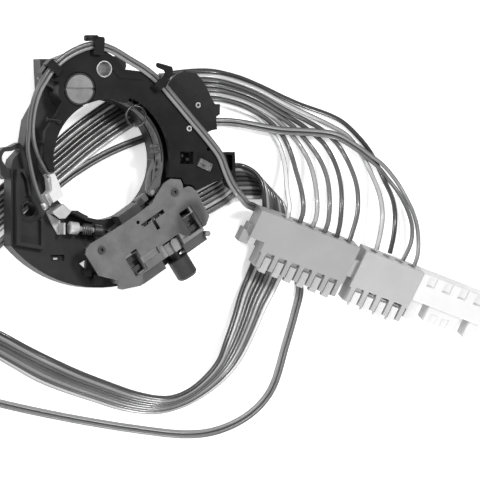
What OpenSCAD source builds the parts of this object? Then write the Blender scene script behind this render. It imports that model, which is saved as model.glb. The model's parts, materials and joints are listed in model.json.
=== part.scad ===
/* [Column bowl] */
// Radius of the round bowl that the switch sits in
bowl_r = 55.5; // [54:0.5:57]
// Radius of the hole for the steering column
hole_r = 26; // [25:0.5:26.5]
// Inner radius of the front cover
cover_hole_r = 28.6; // [28.3:0.1:29]

/* [Housing] */
// Height of the housing deck above the seat plane
deck_z = 8; // [7.5:0.5:9]
// Thickness of the deck
deck_t = 2.4; // [2:0.2:3]
// Thickness of the housing's outer wall
wall_t = 1.8; // [1.4:0.1:2.2]
// Thickness of the wall round the column hole
rim_t = 1.6; // [1.2:0.1:1.8]
// Height of the wall round the column hole
rim_z = 17.5; // [16:0.5:18]
// Thickness of the stiffening ribs under the deck
rib_t = 1.4; // [1:0.2:2]
// Length of the locating posts behind the seat plane
post_len = 6; // [6:0.5:7]
// Radius of the locating posts
post_r = 2.6; // [2:0.2:3]

/* [Front cover] */
// Height of the front face above the seat plane
front_z = 20; // [19.8:0.1:20.4]
// Thickness of the front cover
cover_t = 2.6; // [2:0.2:3]

/* [Screw holes] */
// Distance of each mounting screw from the column axis
screw_r = 39.2; // [38.9:0.1:39.5]
// Bearing of the top mounting screw in degrees
screw_a = 93.5; // [93:0.5:94]
// Bore radius of each steel sleeve
sleeve_bore_r = 3.05; // [2.8:0.05:3.1]
// Outer radius of each steel sleeve
sleeve_r = 3.65; // [3.5:0.05:3.8]

/* [Turn signal yoke] */
// Distance of the yoke pivot to the left of the column axis
pivot_x = 13.7; // [13.4:0.1:14]
// Height of the yoke pivot above the column axis
pivot_y = 30.4; // [30:0.1:30.6]
// Radius of the pivot pin
pivot_r = 3; // [2.6:0.1:3.2]
// Running gap round the pivot pin
pivot_gap = 0.05; // [0.03:0.01:0.08]
// Wall of the bush pressed in the yoke hub
bush_t = 1; // [0.8:0.1:1.2]
// Radius of the slotted head of the pivot pin
head_r = 7.1; // [6.6:0.1:7.2]
// Radius of the yoke hub
hub_r = 7.8; // [7.4:0.1:8]
// Radius of the threaded hole for the lever
lever_r = 1.7; // [1.5:0.1:1.8]

/* [Switch] */
// Angle of the switch across the housing
switch_a = 33; // [32.5:0.5:33.5]
// Thickness of the steel switch plate
plate_t = 1.2; // [1:0.1:1.4]
// Travel of the contact carriage each way
carriage_travel = 5.1; // [4.8:0.1:5.2]
// Radius of the hazard button
button_r = 4.7; // [4.5:0.1:4.7]
// Length of the hazard button outside the switch
button_len = 9.4; // [8.5:0.1:10]
// Travel of the hazard button
button_travel = 4; // [3:0.5:4.5]

/* [Connectors] */
// Distance between neighbouring terminals
pitch = 6.4; // [6.3:0.1:6.4]
// Depth of the connector housings
conn_depth = 24.6; // [24:0.2:25.2]
// Thickness of the connector housings
conn_t = 10; // [9.6:0.2:10.2]

/* [Wires] */
// Diameter of each wire in the flat cable
wire_d = 2.1; // [2:0.05:2.14]
// Diameter of the two loose wires
pair_d = 1.8; // [1.6:0.1:1.9]

/* [Hidden] */
$fn = 48;

black = [0.14, 0.14, 0.15];
steel = [0.6, 0.6, 0.6];
nylon = [0.93, 0.93, 0.9];
ivory = [0.85, 0.84, 0.8];
brass = [0.75, 0.65, 0.4];
floor_z = -post_len;
cover_z = front_z - cover_t;
plate_z = front_z - plate_t;
pivot = [-pivot_x, pivot_y];
eps = 0.01;
clear = 0.3;

// Points along an arc round c, from angle a0 to a1
function arc(r, a0, a1, n, c = [0, 0]) =
    [for (i = [0:n]) c + r * [cos(a0 + (a1 - a0) * i / n), sin(a0 + (a1 - a0) * i / n)]];
// Where two lines meet, each given by a point and a direction
function meet(p, d, q, e) = p + d * ((q - p)[0] * e[1] - (q - p)[1] * e[0]) / (d[0] * e[1] - d[1] * e[0]);
function unit(v) = v / norm(v);
function left_of(v) = [-v[1], v[0]];
// An outline moved inwards by w, for points listed anticlockwise
function inset(p, w) = [
    for (i = [0:len(p) - 1])
        let (
            a = p[(i + len(p) - 1) % len(p)], b = p[i], c = p[(i + 1) % len(p)],
            u = unit(b - a), v = unit(c - b)
        )
        abs(u[0] * v[1] - u[1] * v[0]) < 0.02 ? b + w * left_of(unit(u + v))
            : meet(b + w * left_of(u), u, b + w * left_of(v), v)
];
// A point of the switch's own grid in the housing's frame
function on_switch(x, y) = [x * cos(switch_a) - y * sin(switch_a), x * sin(switch_a) + y * cos(switch_a)];
module switch_frame() {
    rotate([0, 0, switch_a]) children();
}

screws = [for (i = [0:2]) screw_r * [cos(screw_a + 120 * i), sin(screw_a + 120 * i)]];
posts = [[-19, 38], [-31, -41], [18, -44], [46, -7], [10, 41]];
left_x = -41;
right_x = bowl_r - 1.6;
left_a = 180 + acos(-left_x / bowl_r);
right_a = 358;

// Outer edge of the housing, anticlockwise from the lower left
housing_edge = concat(
    arc(bowl_r, left_a, right_a, 30),
    [[right_x + 0.1, 1], [26, 31], [16.5, 38], [12, 38.5], [7, 39], [3.8, 43.5], [-3.3, 47.8], [-8.5, 47.8]],
    [[-20, 43.5], [-27.4, 43.5], [-27, 36], [-26.5, 28], [-33, 17], [-35, 5], [-40, 0], [left_x, -4]]
);
// Outer edge of the front cover, anticlockwise from the switch plate
cover_edge = concat(
    [[29.6, -7.7], [33.9, -7.8], [35.3, -10.6], [38.9, -10.9], [41.5, -13.2], [right_x - 0.4, -8], [right_x - 0.1, 1]],
    [[26, 31], [16.5, 38], [12, 38.5], [7, 39], [3.8, 43.5], [-3.3, 47.8], [-8.5, 47.8], [-20, 43.5]],
    [[-27.6, 42.4], [-31.6, 37.4], [-30.4, 34.6], [-26, 33.9]],
    arc(head_r + 2.8, 162, 216, 9, pivot),
    [[-24, 20.4], [-30, 12], [-30.4, 0], [-27.5, -5.5]]
);

module ring_hole(r, z0, z1) {
    translate([0, 0, z0]) cylinder(r = r, h = z1 - z0, $fn = 120);
}

// A ring of the wall round the column hole between two bearings
module rim_arc(r0, r1, a0, a1, z0, z1) {
    n = ceil((a1 - a0) / 6);
    intersection() {
        difference() {
            ring_hole(r1, z0, z1);
            ring_hole(r0, z0 - 1, z1 + 1);
        }
        translate([0, 0, z0 - 1])
            linear_extrude(z1 - z0 + 2) polygon(concat([[0, 0]], arc(2 * r1, a0, a1, n)));
    }
}

module rib(a, r0, r1) {
    rotate([0, 0, a])
        translate([r0, -rib_t / 2, 0])
            cube([r1 - r0, rib_t, deck_z - deck_t + eps]);
}

module base_housing() {
    color(black) difference() {
        union() {
            // deck with its outer wall
            difference() {
                linear_extrude(deck_z) polygon(housing_edge);
                translate([0, 0, -1]) linear_extrude(deck_z - deck_t + 1) polygon(inset(housing_edge, wall_t));
            }
            // ribs, bosses and locating posts
            intersection() {
                linear_extrude(deck_z) polygon(inset(housing_edge, wall_t / 2));
                union() for (a = [20, 62, 118, 168, 232, 253, 290, 316]) rib(a, hole_r + 1, bowl_r);
            }
            for (p = screws) translate(p) cylinder(r = sleeve_r + 2, h = deck_z);
            for (p = posts) translate([p[0], p[1], -post_len]) {
                cylinder(r = post_r, h = post_len + deck_z - deck_t + eps);
                translate([0, 0, post_len]) cylinder(r = post_r + 1.4, h = deck_z - deck_t + eps);
            }
            // pillar under the pivot and lugs that carry the cover
            translate([pivot[0], pivot[1], 0]) cylinder(r = hub_r + 1.4, h = deck_z);
            // wall round the column hole
            rim_arc(hole_r, hole_r + rim_t, 0, 359.9, 0, deck_z);
            rim_arc(hole_r, hole_r + rim_t, 238, 264, 0, rim_z - 4);
            rim_arc(hole_r, hole_r + rim_t, 238, 250, 0, rim_z);
            translate([-28, 7.5, 0]) cylinder(r = 1.3, h = cover_z - 0.02);
            strap();
            // tray for the horn contact and the detent
            tray();
        }
        ring_hole(hole_r, -post_len - 1, front_z + 1);
        for (p = screws) translate([p[0], p[1], -1]) cylinder(r = sleeve_r, h = front_z + 2);
        translate([pivot[0], pivot[1], -1]) cylinder(r = pivot_r, h = deck_z + 2);
        // slots moulded through the lower left of the deck
        translate([-22.5, -43.8, deck_z - 1.6]) cube([6.5, 2.6, 3]);
        translate([-20.6, -43.3, -1]) cube([2.2, 0.8, deck_z + 2]);
        translate([0, 0, -1]) linear_extrude(deck_z + 2) polygon([[-9, -45], [-6, -47.5], [-5.6, -43]]);
    }
}

// Raised walls of the lower left corner
module tray() {
    block = [[-39.4, -37], [-26.6, -39], [-26.6, -26.5], [-32, -17], [-33.4, -8], [-36, -4], [-39.4, -4]];
    difference() {
        translate([0, 0, deck_z - eps]) linear_extrude(3.2) polygon(block);
        translate([screws[1][0], screws[1][1], 0]) cylinder(r = sleeve_r + 2.4, h = front_z);
        translate([0, 0, deck_z + 1]) linear_extrude(4) polygon(inset(block, 1.5));
    }
    // blocks at the lower edge
    translate([-3.4, -54.2, deck_z - eps]) cube([3.8, 4.4, 4.5]);
    translate([-7.5, -50.6, deck_z - eps]) cube([3, 2.6, 3]);
    // block with the two locating pegs inside the arch
    translate([33.6, -2.6, deck_z - eps]) cube([6.6, 5.6, 5]);
    for (p = [[34.9, 1.7], [37.6, 0]]) translate([p[0], p[1], deck_z]) {
        cylinder(r = 1.1, h = cover_z - deck_z);
        translate([0, 0, cover_z - deck_z]) sphere(r = 1.1, $fn = 24);
    }
}

// Bent strap moulded on the left edge
module strap() {
    outer = concat([[-34.6, 4.6], [-36.8, 7.4], [-41, 5.6]], arc(5.2, 120, 210, 8, [-41.6, 0.6]),
        [[-45.6, -6.4], [-43.4, -8.6]]);
    inner = concat([[-40.6, -8], [-41.2, -5.4]], arc(3.4, 205, 125, 8, [-41.6, 0.6]),
        [[-40.6, 3.6], [-37.4, 4.8], [-36, 2.6]]);
    translate([0, 0, 2.2]) linear_extrude(5.4) polygon(concat(outer, inner));
}

// A hook moulded on the cover that holds down the loose wires at step i of their route
module wire_hook(i, w, drop = 3) {
    half = pair_gap / 2 + pair_d / 2 + 0.5;
    top = pair_d + 0.5;
    p = pair_route[i];
    h = heading(pair_route, i);
    rise = p[2] - pair_d / 2 - front_z;
    translate([p[0], p[1], front_z + rise]) rotate([0, 0, atan2(h[1], h[0]) + 90]) rotate([90, 0, 0])
        linear_extrude(w, center = true)
            polygon([[-half - 1.7, -rise - 1], [-half, -rise - 1], [-half, top], [half, top], [half, 1.2 - drop],
                [half + 1.4, 1.2 - drop], [half + 1.4, top + 0.6], [half + 0.4, top + 1.5],
                [-half - 0.7, top + 1.5], [-half - 1.7, top + 0.5]]);
}

module front_cover() {
    wall_edge = inset(cover_edge, wall_t);
    color(black) difference() {
        union() {
            translate([0, 0, cover_z]) linear_extrude(cover_t) polygon(cover_edge);
            // outer wall down to the deck, along the outside only
            intersection() {
                difference() {
                    translate([0, 0, deck_z + 0.02]) linear_extrude(cover_z - deck_z) polygon(cover_edge);
                    linear_extrude(front_z) polygon(wall_edge);
                }
                translate([0, 0, deck_z])
                    linear_extrude(cover_t + cover_z)
                        polygon([[60, -4], [60, 60], [-60, 60], [-60, 30], [-20, 36], [20, 20], [48, -4]]);
            }
            // collar round the pivot head and its flank
            translate([pivot[0], pivot[1], cover_z - 3]) cylinder(r = head_r + 3, h = cover_t + 3);
            translate([pivot[0], pivot[1], 0]) rim_arc(head_r + 1.6, head_r + 2.9, 186, 236, deck_z + 0.02, cover_z - 1);
            for (p = [screws[0]]) translate([p[0], p[1], deck_z + 0.02])
                cylinder(r = sleeve_r + 1.6, h = front_z - deck_z - 0.02);
            // hooks for the loose wires
            wire_hook(4, 3.4);
            wire_hook(7, 4.4);
            wire_hook(11, 3.6, 4.4);
            // stub and stem lying on the left limb
            translate([-29, 17.4, front_z - 0.4]) rotate([0, 84, -8]) cylinder(r = 1, h = 6.4);
            translate([-23.4, 16.8, cover_z]) cylinder(r = 1.7, h = cover_t + 0.9);
            // low step along the arch
            translate([0, 0, front_z - eps]) linear_extrude(0.5)
                polygon([[1.5, 43], [6, 37.5], [13, 36.5], [15, 34.5], [4.5, 35.2], [-0.4, 41.5]]);
        }
        // column hole: wide on the right, to the rim on the left
        ring_hole(hole_r, deck_z - 1, front_z + 4);
        rotate([0, 0, -30]) intersection() {
            ring_hole(cover_hole_r, deck_z - 1, front_z + 4);
            translate([-5, 0, 0]) cube([60, 60, 30]);
        }
        // seat of the pivot head, and its pin
        translate([pivot[0], pivot[1], cover_z - 3 - 1]) cylinder(r = pivot_r + 0.02, h = 12);
        translate([pivot[0], pivot[1], front_z - 2.2]) cylinder(r = head_r + 0.35, h = 6);
        translate([screws[0][0], screws[0][1], 0]) cylinder(r = sleeve_r, h = front_z + 2);
        // small holes through the front
        translate([eyelets[1][0], eyelets[1][1], cover_z - 1]) cylinder(r = 0.8, h = cover_t + 2);
        translate([46.5, 4.6, cover_z - 1]) cylinder(r = 0.8, h = cover_t + 2);
        // window over the pegs, and the opening for the lever
        translate([33.3, -1.9, cover_z - 1]) cube([6.2, 5.4, cover_t + 2]);
        translate([pivot[0], pivot[1], deck_z]) rotate([0, 0, lever_a])
            translate([hub_r + 0.6, -9, -1]) cube([14, 18, yoke_top + 0.4 - deck_z + 1]);
    }
}

module mounting_sleeves() {
    color(steel) for (i = [0:2])
        translate([screws[i][0], screws[i][1], 0]) difference() {
            cylinder(r = sleeve_r - 0.02, h = i == 0 ? front_z + 0.4 : (i == 1 ? deck_z + 0.4 : deck_z));
            translate([0, 0, -1]) cylinder(r = sleeve_bore_r, h = front_z + 3);
        }
}

module pivot_pin() {
    color(steel) translate([pivot[0], pivot[1], 0]) difference() {
        union() {
            cylinder(r = pivot_r - 0.02, h = front_z - 2);
            translate([0, 0, front_z - 2.2 + 0.02]) cylinder(r = head_r, h = 2.2);
        }
        translate([-head_r, -0.6, front_z - 0.8]) cube([2 * head_r, 1.2, 2]);
    }
}

board_z = 10;
board_t = 1.6;
board_edge = concat(
    [[bowl_r - 26, 29.6], [bowl_r - 23.5, 34], [bowl_r - 20.5, 37], [bowl_r - 16.8, 38.6]],
    [[bowl_r - 11.1, 37.6], [bowl_r - 7.3, 33.5], [bowl_r - 4, 27], [bowl_r - 2.3, 24.2]],
    [[bowl_r + 0.1, 24.2], [bowl_r + 0.1, 19.8], [bowl_r - 1.7, 18.6], [bowl_r - 1.2, 13.2]],
    [[bowl_r - 3.7, 12.8], [bowl_r - 9.5, 10.4]]
);

module terminal_board() {
    color([0.2, 0.18, 0.17]) {
        difference() {
            translate([0, 0, board_z]) linear_extrude(board_t) polygon(board_edge);
            translate([eyelets[0][0], eyelets[0][1], board_z - 1]) cylinder(r = 0.8, h = board_t + 2);
        }
        // tongue that seats the board on the deck
        translate([0, 0, deck_z + 0.02]) linear_extrude(board_z - deck_z)
            polygon([[bowl_r - 24.5, 28], [bowl_r - 11.5, 13], [bowl_r - 10, 14.5], [bowl_r - 22.5, 29.5]]);
    }
}

// Rolled eyelets: one in the board, one in the cover's small hole
eyelets = [[bowl_r - 10.4, 23.7, board_z + board_t], [bowl_r - 18.1, 13.5, front_z]];
module board_eyelets() {
    color(brass) for (p = eyelets) translate(p) {
        translate([0, 0, -1.8]) cylinder(r = 0.78, h = 2);
        translate([0, 0, 0.02]) difference() {
            cylinder(r = 1.2, h = 0.5, $fn = 24);
            translate([0, 0, 0.2]) cylinder(r = 0.6, h = 1, $fn = 24);
            translate([0.4, -0.4, 0.12]) cube([2, 0.8, 1]);
        }
    }
}

body_z = deck_z + 0.02;
module switch_body() {
    color(ivory) switch_frame() difference() {
        union() {
            translate([-14, -50.5, body_z]) cube([36, 23, plate_z - body_z - 0.02]);
            translate([-14, -55.4, body_z]) cube([13, 5, 14 - body_z]);
            translate([10.6, -55.4, body_z]) cube([11.4, 5, 14 - body_z]);
            translate([-26.4, -44, body_z]) cube([12.5, 15.6, plate_z - body_z - 0.02]);
            translate([-24, -48.5, body_z]) cube([10.2, 5, plate_z - body_z - 0.02]);
            // small peg at the right corner
            translate([22.6, -52.8, body_z]) cylinder(r = 1.2, h = 17 - body_z);
            translate([20, -53.6, body_z]) cube([2.6, 1.6, 5]);
        }
        // step along the front edge
        translate([-14.2, -51, 17]) cube([13.4, 3, 4]);
        translate([10.4, -51, 17]) cube([11.8, 3.6, 4]);
        // bay for the carriage, and slot for its drive lug
        translate([-8 - carriage_travel, -40.4, 10]) cube([23 + 2 * carriage_travel, 10.6, 12]);
        translate([-9.8 - carriage_travel, -31.4, 10]) cube([12 + 2 * carriage_travel, 5.4, 12]);
        // channel for the hazard slider, open at the front
        translate([1.2, -57, 9.4]) cube([9, 11.8 + button_travel, 12]);
        translate([-0.8, -57, 9]) cube([11.4, 6.6, 12]);
        // pockets seen through the two windows
        translate([-17.4, -49.4, 13]) cube([7, 8.8, 8]);
        translate([14.4, -49, 13]) cube([6.8, 8.4, 8]);
        // rivet holes
        for (p = rivets) translate([p[0], p[1], body_z - 1]) cylinder(r = rivet_r + 0.02, h = front_z);
    }
}

rivet_r = 1.3;
rivets = [[-24.4, -30.9], [18, -28.6]];
plate_edge = [
    [19.6, -22.6], [15.8, -22.6], [6.5, -26.8], [-2.4, -27], [-15, -26.8], [-27.2, -25.8], [-29.8, -26.6],
    [-31.6, -28.4], [-31.2, -39.6], [-24.9, -46], [-26.8, -49.2], [-25.4, -50.6], [-17, -54], [-15.4, -53.4],
    [-13.8, -50.2], [-1, -50.2], [-1, -44.6], [11, -44.6], [12.8, -47.8], [22.8, -48.6], [26.2, -46],
    [26.6, -41], [27, -34], [26, -31], [24.8, -29.8], [22.4, -29.3], [23.2, -27.6], [23.4, -25.4]
];
module switch_plate() {
    anti = [for (i = [len(plate_edge) - 1:-1:0]) plate_edge[i]];
    color([0.45, 0.45, 0.45]) switch_frame() difference() {
        translate([0, 0, plate_z]) linear_extrude(plate_t) polygon(anti);
        translate([0, 0, plate_z - 1]) linear_extrude(plate_t + 2) {
            // window with its arm, second window, slot for the carriage peg
            polygon([[-17, -49.4], [-10.4, -49.4], [-10.4, -46.8], [-1.8, -46.8], [-1.8, -43.6], [-10.4, -43.6],
                [-10.4, -39.2], [-17, -39.2]]);
            polygon([[14.8, -48.6], [21.2, -48.6], [21.2, -37.4], [14.8, -37.4]]);
            polygon([[-2.8, -33.5], [9.4, -33.5], [9.4, -31.7], [-2.8, -31.7]]);
            polygon([[2.4, -38], [4, -38], [4, -33], [2.4, -33]]);
        }
        translate([-3.4, -30.2, plate_z - 1]) cylinder(r = 0.8, h = plate_t + 2);
        for (p = rivets) translate([p[0], p[1], plate_z - 1]) cylinder(r = rivet_r + 0.02, h = plate_t + 2);
    }
}

module plate_rivets() {
    color([0.3, 0.3, 0.3]) switch_frame() for (p = rivets) translate([p[0], p[1], deck_z]) difference() {
        union() {
            translate([0, 0, 0.05]) cylinder(r = rivet_r, h = front_z - deck_z + 0.2);
            translate([0, 0, front_z - deck_z + 0.02]) cylinder(r = rivet_r + 0.5, h = 0.5);
        }
        translate([0, 0, front_z - deck_z - 0.6]) cylinder(r = 0.8, h = 2);
    }
}

module fixed_contacts() {
    color(brass) switch_frame() {
        translate([-16.6, -48.6, 13.02]) cube([5.4, 2.2, 2.2]);
        translate([-16.6, -44, 13.02]) cube([5.4, 2.4, 1.6]);
        translate([15.2, -48.2, 13.02]) cube([5.4, 2.2, 2.2]);
        translate([15.2, -43.6, 13.02]) cube([5.4, 2.2, 1.6]);
    }
}

// Bracket over the flat cable where it leaves the housing
module harness_bracket() {
    color(black) {
        difference() {
            translate([0, 0, 14.4]) linear_extrude(5.4)
                polygon([for (p = [[0, 3.4], [0, -5.6], [2.5, -11.4], [4.5, -12.6], [5.7, -8], [5.3, 3.4]]) [right_x + p[0], p[1]]]);
            translate([right_x + 1.3, -4.8, 16]) cube([2.7, 7, 6]);
        }
        translate([right_x, -4.4, deck_z + 0.02]) cube([1.2, 2.8, 7]);
    }
}

module horn_contact() {
    foot = [[-24.6, -22.9], [-23.4, -23.6], [-18.4, -26.4], [-17.8, -32.4], [-19.6, -32.4], [-22.6, -27.6]];
    color(steel) {
        translate([0, 0, deck_z + 0.02]) linear_extrude(8)
            polygon([[-24.8, -22.6], [-19.6, -19.2], [-18.9, -20.2], [-24.1, -23.7]]);
        translate([0, 0, deck_z + 7]) linear_extrude(1)
            polygon([[-24.8, -22.6], [-19.6, -19.2], [-16, -22.4], [-18.8, -25.4], [-21.4, -25.6], [-24.1, -23.7]]);
        translate([0, 0, deck_z + 0.02]) linear_extrude(1) polygon(foot);
        translate([-19, -32.4, deck_z + 0.02]) cube([0.8, 5, 6.4]);
    }
}

module horn_terminal_block() {
    h = 7.6;
    color(nylon) difference() {
        union() {
            translate([0, 0, deck_z + 0.02]) linear_extrude(h)
                polygon([[-26.2, -6.7], [-23.7, -6], [-21.5, -10.6], [-19.5, -15.8], [-24.2, -18.6], [-26.2, -14.8],
                    [-24.8, -13.3], [-25.3, -8.1]]);
            translate([0, 0, deck_z + 0.02]) linear_extrude(h - 2.6)
                polygon([[-26.2, -14.8], [-23.6, -18.3], [-24.7, -20.2], [-27.3, -15.3]]);
        }
        translate([-25.45, -5.8, deck_z + 4.2]) rotate([90, 0, 22]) cylinder(r = pair_d / 2 + 0.2, h = 5.4);
    }
}

// Cup that guides the detent plunger
plunger_a = -6;
plunger_p = [-15.6, -(hole_r + 3.4), deck_z + 4.4];
module spring_seat() {
    color([0.3, 0.3, 0.32]) translate(plunger_p) rotate([0, 90, plunger_a]) difference() {
        union() {
            translate([0, 0, 11.4]) cylinder(r = 2.6, h = 3.6);
            translate([2, -1.7, 11.6]) cube([plunger_p[2] - deck_z - 2 - 0.02, 3.4, 3.4]);
        }
        translate([0, 0, 10]) cylinder(r = 1.5, h = 4.2);
    }
}

module detent_spring() {
    coil_r = 2.2;
    color(steel) translate(plunger_p) rotate([0, 90, plunger_a])
        for (i = [0:6]) translate([0, 0, 4.6 + i * 0.98])
            rotate_extrude($fn = 24) translate([coil_r, 0]) circle(r = 0.45, $fn = 12);
}

module detent_plunger() {
    color([0.6, 0.6, 0.58]) translate(plunger_p) rotate([0, 90, plunger_a]) {
        translate([0, 0, 0]) cylinder(r = 2.7, h = 4.1);
        translate([0, 0, 4]) cylinder(r = 1.2, h = 8.5);
    }
}

// Loop of wire with two straight legs, by the arch's right shoulder
module torsion_spring() {
    c = [14, 18.9];
    r = 4.5;
    wire = 0.46;
    color(steel) translate([c[0], c[1], cover_z - 0.48]) {
        // upper turn and the leg that runs out over the deck
        rotate([0, 0, 110]) rotate_extrude(angle = 335, $fn = 32) translate([r, 0]) circle(r = wire, $fn = 16);
        rotate([0, 0, 20]) translate([0, r, 0]) rotate([0, 90, 0]) cylinder(r = wire, h = 8, $fn = 16);
        // lower turn and the leg that runs up beside the wall
        rotate([0, 0, 25]) translate([0, 0, -0.95]) rotate_extrude(angle = 335, $fn = 32)
            translate([r, 0]) circle(r = wire, $fn = 16);
        translate([r, 0, -0.95]) rotate([-90, 0, 0]) cylinder(r = wire, h = 6, $fn = 16);
    }
}

module earth_clip() {
    color(steel) translate([44.4, -2.2, front_z + 0.02]) rotate([0, 0, -24]) {
        difference() {
            translate([-3, -1.8, 0]) cube([6.4, 3.6, 1]);
            translate([-1, -2.4, 0.4]) cube([1.2, 3, 2]);
        }
        translate([-3, -0.2, 0.9]) cube([3.6, 2, 0.7]);
        translate([2, -1.4, 0.9]) cube([1.4, 2.2, 0.6]);
    }
}

yoke_z = deck_z + 0.4;
yoke_top = cover_z - 3 - 0.4;
band_r = hole_r + 0.3;
function on_band(a, d) = (band_r + d) * [cos(a), sin(a)];
module signal_yoke() {
    band_t = 1.6;
    h = yoke_top - yoke_z;
    ears = [on_band(-32.8, -1.56), on_band(-16.1, -0.38), on_band(-15.8, 1.56), on_band(-22.6, 2.3),
        on_band(-30.1, 2.38), on_band(-34.9, 1.5), on_band(-35.9, -0.4)];
    color([0.4, 0.4, 0.41]) difference() {
        union() {
            translate([pivot[0], pivot[1], yoke_z]) cylinder(r = hub_r, h = h);
            // curved arm inside the arch
            rim_arc(band_r, band_r + band_t, -17.5, 74, yoke_z, yoke_top);
            rim_arc(band_r + band_t - 0.1, band_r + band_t + 0.7, 12, 40, yoke_z + 1, yoke_top - 1.4);
            // web from the hub to the arm
            translate([0, 0, yoke_z]) linear_extrude(h)
                polygon([pivot + [2.7, 3], pivot + [5.7, -2.8], on_band(83.5, 0.27), on_band(71.57, 0.26),
                    on_band(71.57, 1.53), on_band(84, 2.46), pivot + [10.7, 1.2]]);
            // stubs on the inner side of the arm
            for (y = [3.6, 5.8]) translate([band_r - 3.7, y, yoke_top - 1.6])
                rotate([0, 90, 0]) cylinder(r = 0.9, h = 4.2);
            // ears that hold the finger's pin
            for (z = [yoke_z, yoke_top - 1.4]) translate([0, 0, z]) linear_extrude(1.4) polygon(ears);
            // fork that drives the contact carriage
            switch_frame() difference() {
                translate([2.7, 0.1 - band_r, 10.4]) cube([8.6, 3.4, 2.4]);
                translate([3.5, -0.7 - band_r, 10]) cube([2.6, 3.2, 4]);
                translate([8.6, -0.7 - band_r, 10]) cube([5, 5, 4]);
            }
            switch_frame() translate([6.6, 0.1 - band_r, yoke_z]) cube([2, 3, 3.4]);
            switch_frame() translate([6.6, 0.1 - band_r, yoke_z]) cube([5, 2.8, 1.4]);
            // socket for the lever
            lever_arm();
        }
        translate([pivot[0], pivot[1], 0]) cylinder(r = pivot_r + pivot_gap + bush_t, h = front_z);
        translate([finger_p[0], finger_p[1], 0]) cylinder(r = 0.72, h = front_z);
        lever_frame() translate([0, 0, 8.5]) cylinder(r = lever_r + 0.82, h = 12);
        // strips cut in the arm's crest
        rim_arc(band_r + 0.5, band_r + 1, -2, 60, yoke_top - 1, yoke_top + 1);
    }
}

lever_a = 148;
module lever_frame() {
    translate([pivot[0], pivot[1], (yoke_z + yoke_top) / 2]) rotate([0, 90, lever_a]) children();
}
lever_len = 15.5;
module lever_arm() {
    lever_frame() cylinder(r = 2.75, h = 9);
    lever_frame() translate([-2.75, -4.4, 5]) cube([5.5, 8.8, lever_len - 5]);
}

module yoke_bush() {
    color(brass) translate([pivot[0], pivot[1], yoke_z - 0.3]) difference() {
        cylinder(r = pivot_r + pivot_gap + bush_t - 0.02, h = yoke_top - yoke_z + 0.6);
        translate([0, 0, -1]) cylinder(r = pivot_r - 0.02 + pivot_gap, h = 20);
    }
}

module lever_insert() {
    color(brass) lever_frame() translate([0, 0, 8.6]) difference() {
        cylinder(r = lever_r + 0.8, h = lever_len - 8.6);
        translate([0, 0, 0.8]) cylinder(r = lever_r, h = 12);
    }
}

finger_p = on_band(-32.03, 0.48);
module cancel_finger() {
    z0 = yoke_z + 1.7;
    z1 = yoke_top - 1.7;
    blade = concat(arc(1.6, 200, 340, 6, finger_p), [for (p = [[1.8, 5.2], [2.1, 11], [1.5, 14.4],
        [0.5, 11.8], [-1.1, 8.2], [-1.9, 4.2], [-1.9, 1.2]]) finger_p + p]);
    color([0.55, 0.55, 0.56]) difference() {
        translate([0, 0, z0]) linear_extrude(z1 - z0) polygon(blade);
        translate([finger_p[0], finger_p[1], 0]) cylinder(r = 0.75, h = front_z);
        translate([0, 0, z1 - 1]) linear_extrude(2)
            polygon([for (p = [[-0.7, 3.6], [0.5, 4.2], [0.9, 10.2], [-0.3, 7.8]]) finger_p + p]);
    }
}

module finger_pin() {
    color(steel) translate([finger_p[0], finger_p[1], yoke_z - 0.2]) {
        cylinder(r = 0.7, h = yoke_top - yoke_z + 0.2);
        translate([0, 0, yoke_top - yoke_z + 0.2]) cylinder(r = 1.1, h = 0.5);
    }
}

button_x = 5.65;
button_z = 14.1;
module along_button(y) {
    switch_frame() translate([button_x, y, button_z]) rotate([90, 0, 0]) children();
}
module hazard_button() {
    color([0.33, 0.33, 0.34]) along_button(-54.6) {
        difference() {
            cylinder(r = button_r, h = button_len - 1);
            translate([0, 0, -1]) cylinder(r = 1.82, h = 5);
        }
        translate([0, 0, button_len - 1.02]) cylinder(r1 = button_r, r2 = button_r - 0.8, h = 1);
    }
}
module hazard_slider() {
    color(ivory) {
        along_button(-51.2) cylinder(r = 1.8, h = 7);
        switch_frame() {
            translate([button_x - 3.6, -51.2, 10]) cube([7.2, 5.2, 6.75]);
            // finger that shows in front of the plate
            translate([button_x - 0.6, -51, 16.7]) cube([3, 4.2, 1.8]);
            translate([button_x + 0.9, -46.8, 16.7]) cylinder(r = 1.5, h = 1.8);
        }
    }
}

module contact_carriage() {
    z0 = 10.3;
    color([0.9, 0.9, 0.88]) switch_frame() {
        translate([-7.5, -40, z0]) cube([22, 9, 4.2]);
        translate([-5.4, -38.8, z0 + 4.1]) cube([18, 6.4, 1.6]);
        // peg in the plate's slot
        translate([3.3, -32.6, z0 + 4.1]) cylinder(r = 0.7, h = front_z - z0 - 4.6);
        // drive lug that reaches into the ring, with the peg for the fork
        translate([-9.4, -31.1, z0]) cube([11, 4, 3]);
        translate([-9.4, -27.3, z0]) cube([11, 4, 8]);
        translate([1.5, -26, z0 + 3.2]) cube([4, 2, 1.6]);
        translate([4.8, -25, z0]) cylinder(r = 0.9, h = 4);
    }
}

module bridge_contacts() {
    color(brass) switch_frame() for (x = [-4.6, 1.6, 7.8])
        translate([x, -37.8, 16.03]) difference() {
            cube([3.6, 4.4, 0.8]);
            translate([1.2, -1, 0.4]) cube([1.2, 7, 1]);
        }
}

// Position along a smooth curve through four points
function spline(a, b, c, d, t) =
    0.5 * (2 * b + (c - a) * t + (2 * a - 5 * b + 4 * c - d) * t * t + (3 * b - a - 3 * c + d) * t * t * t);
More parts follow.
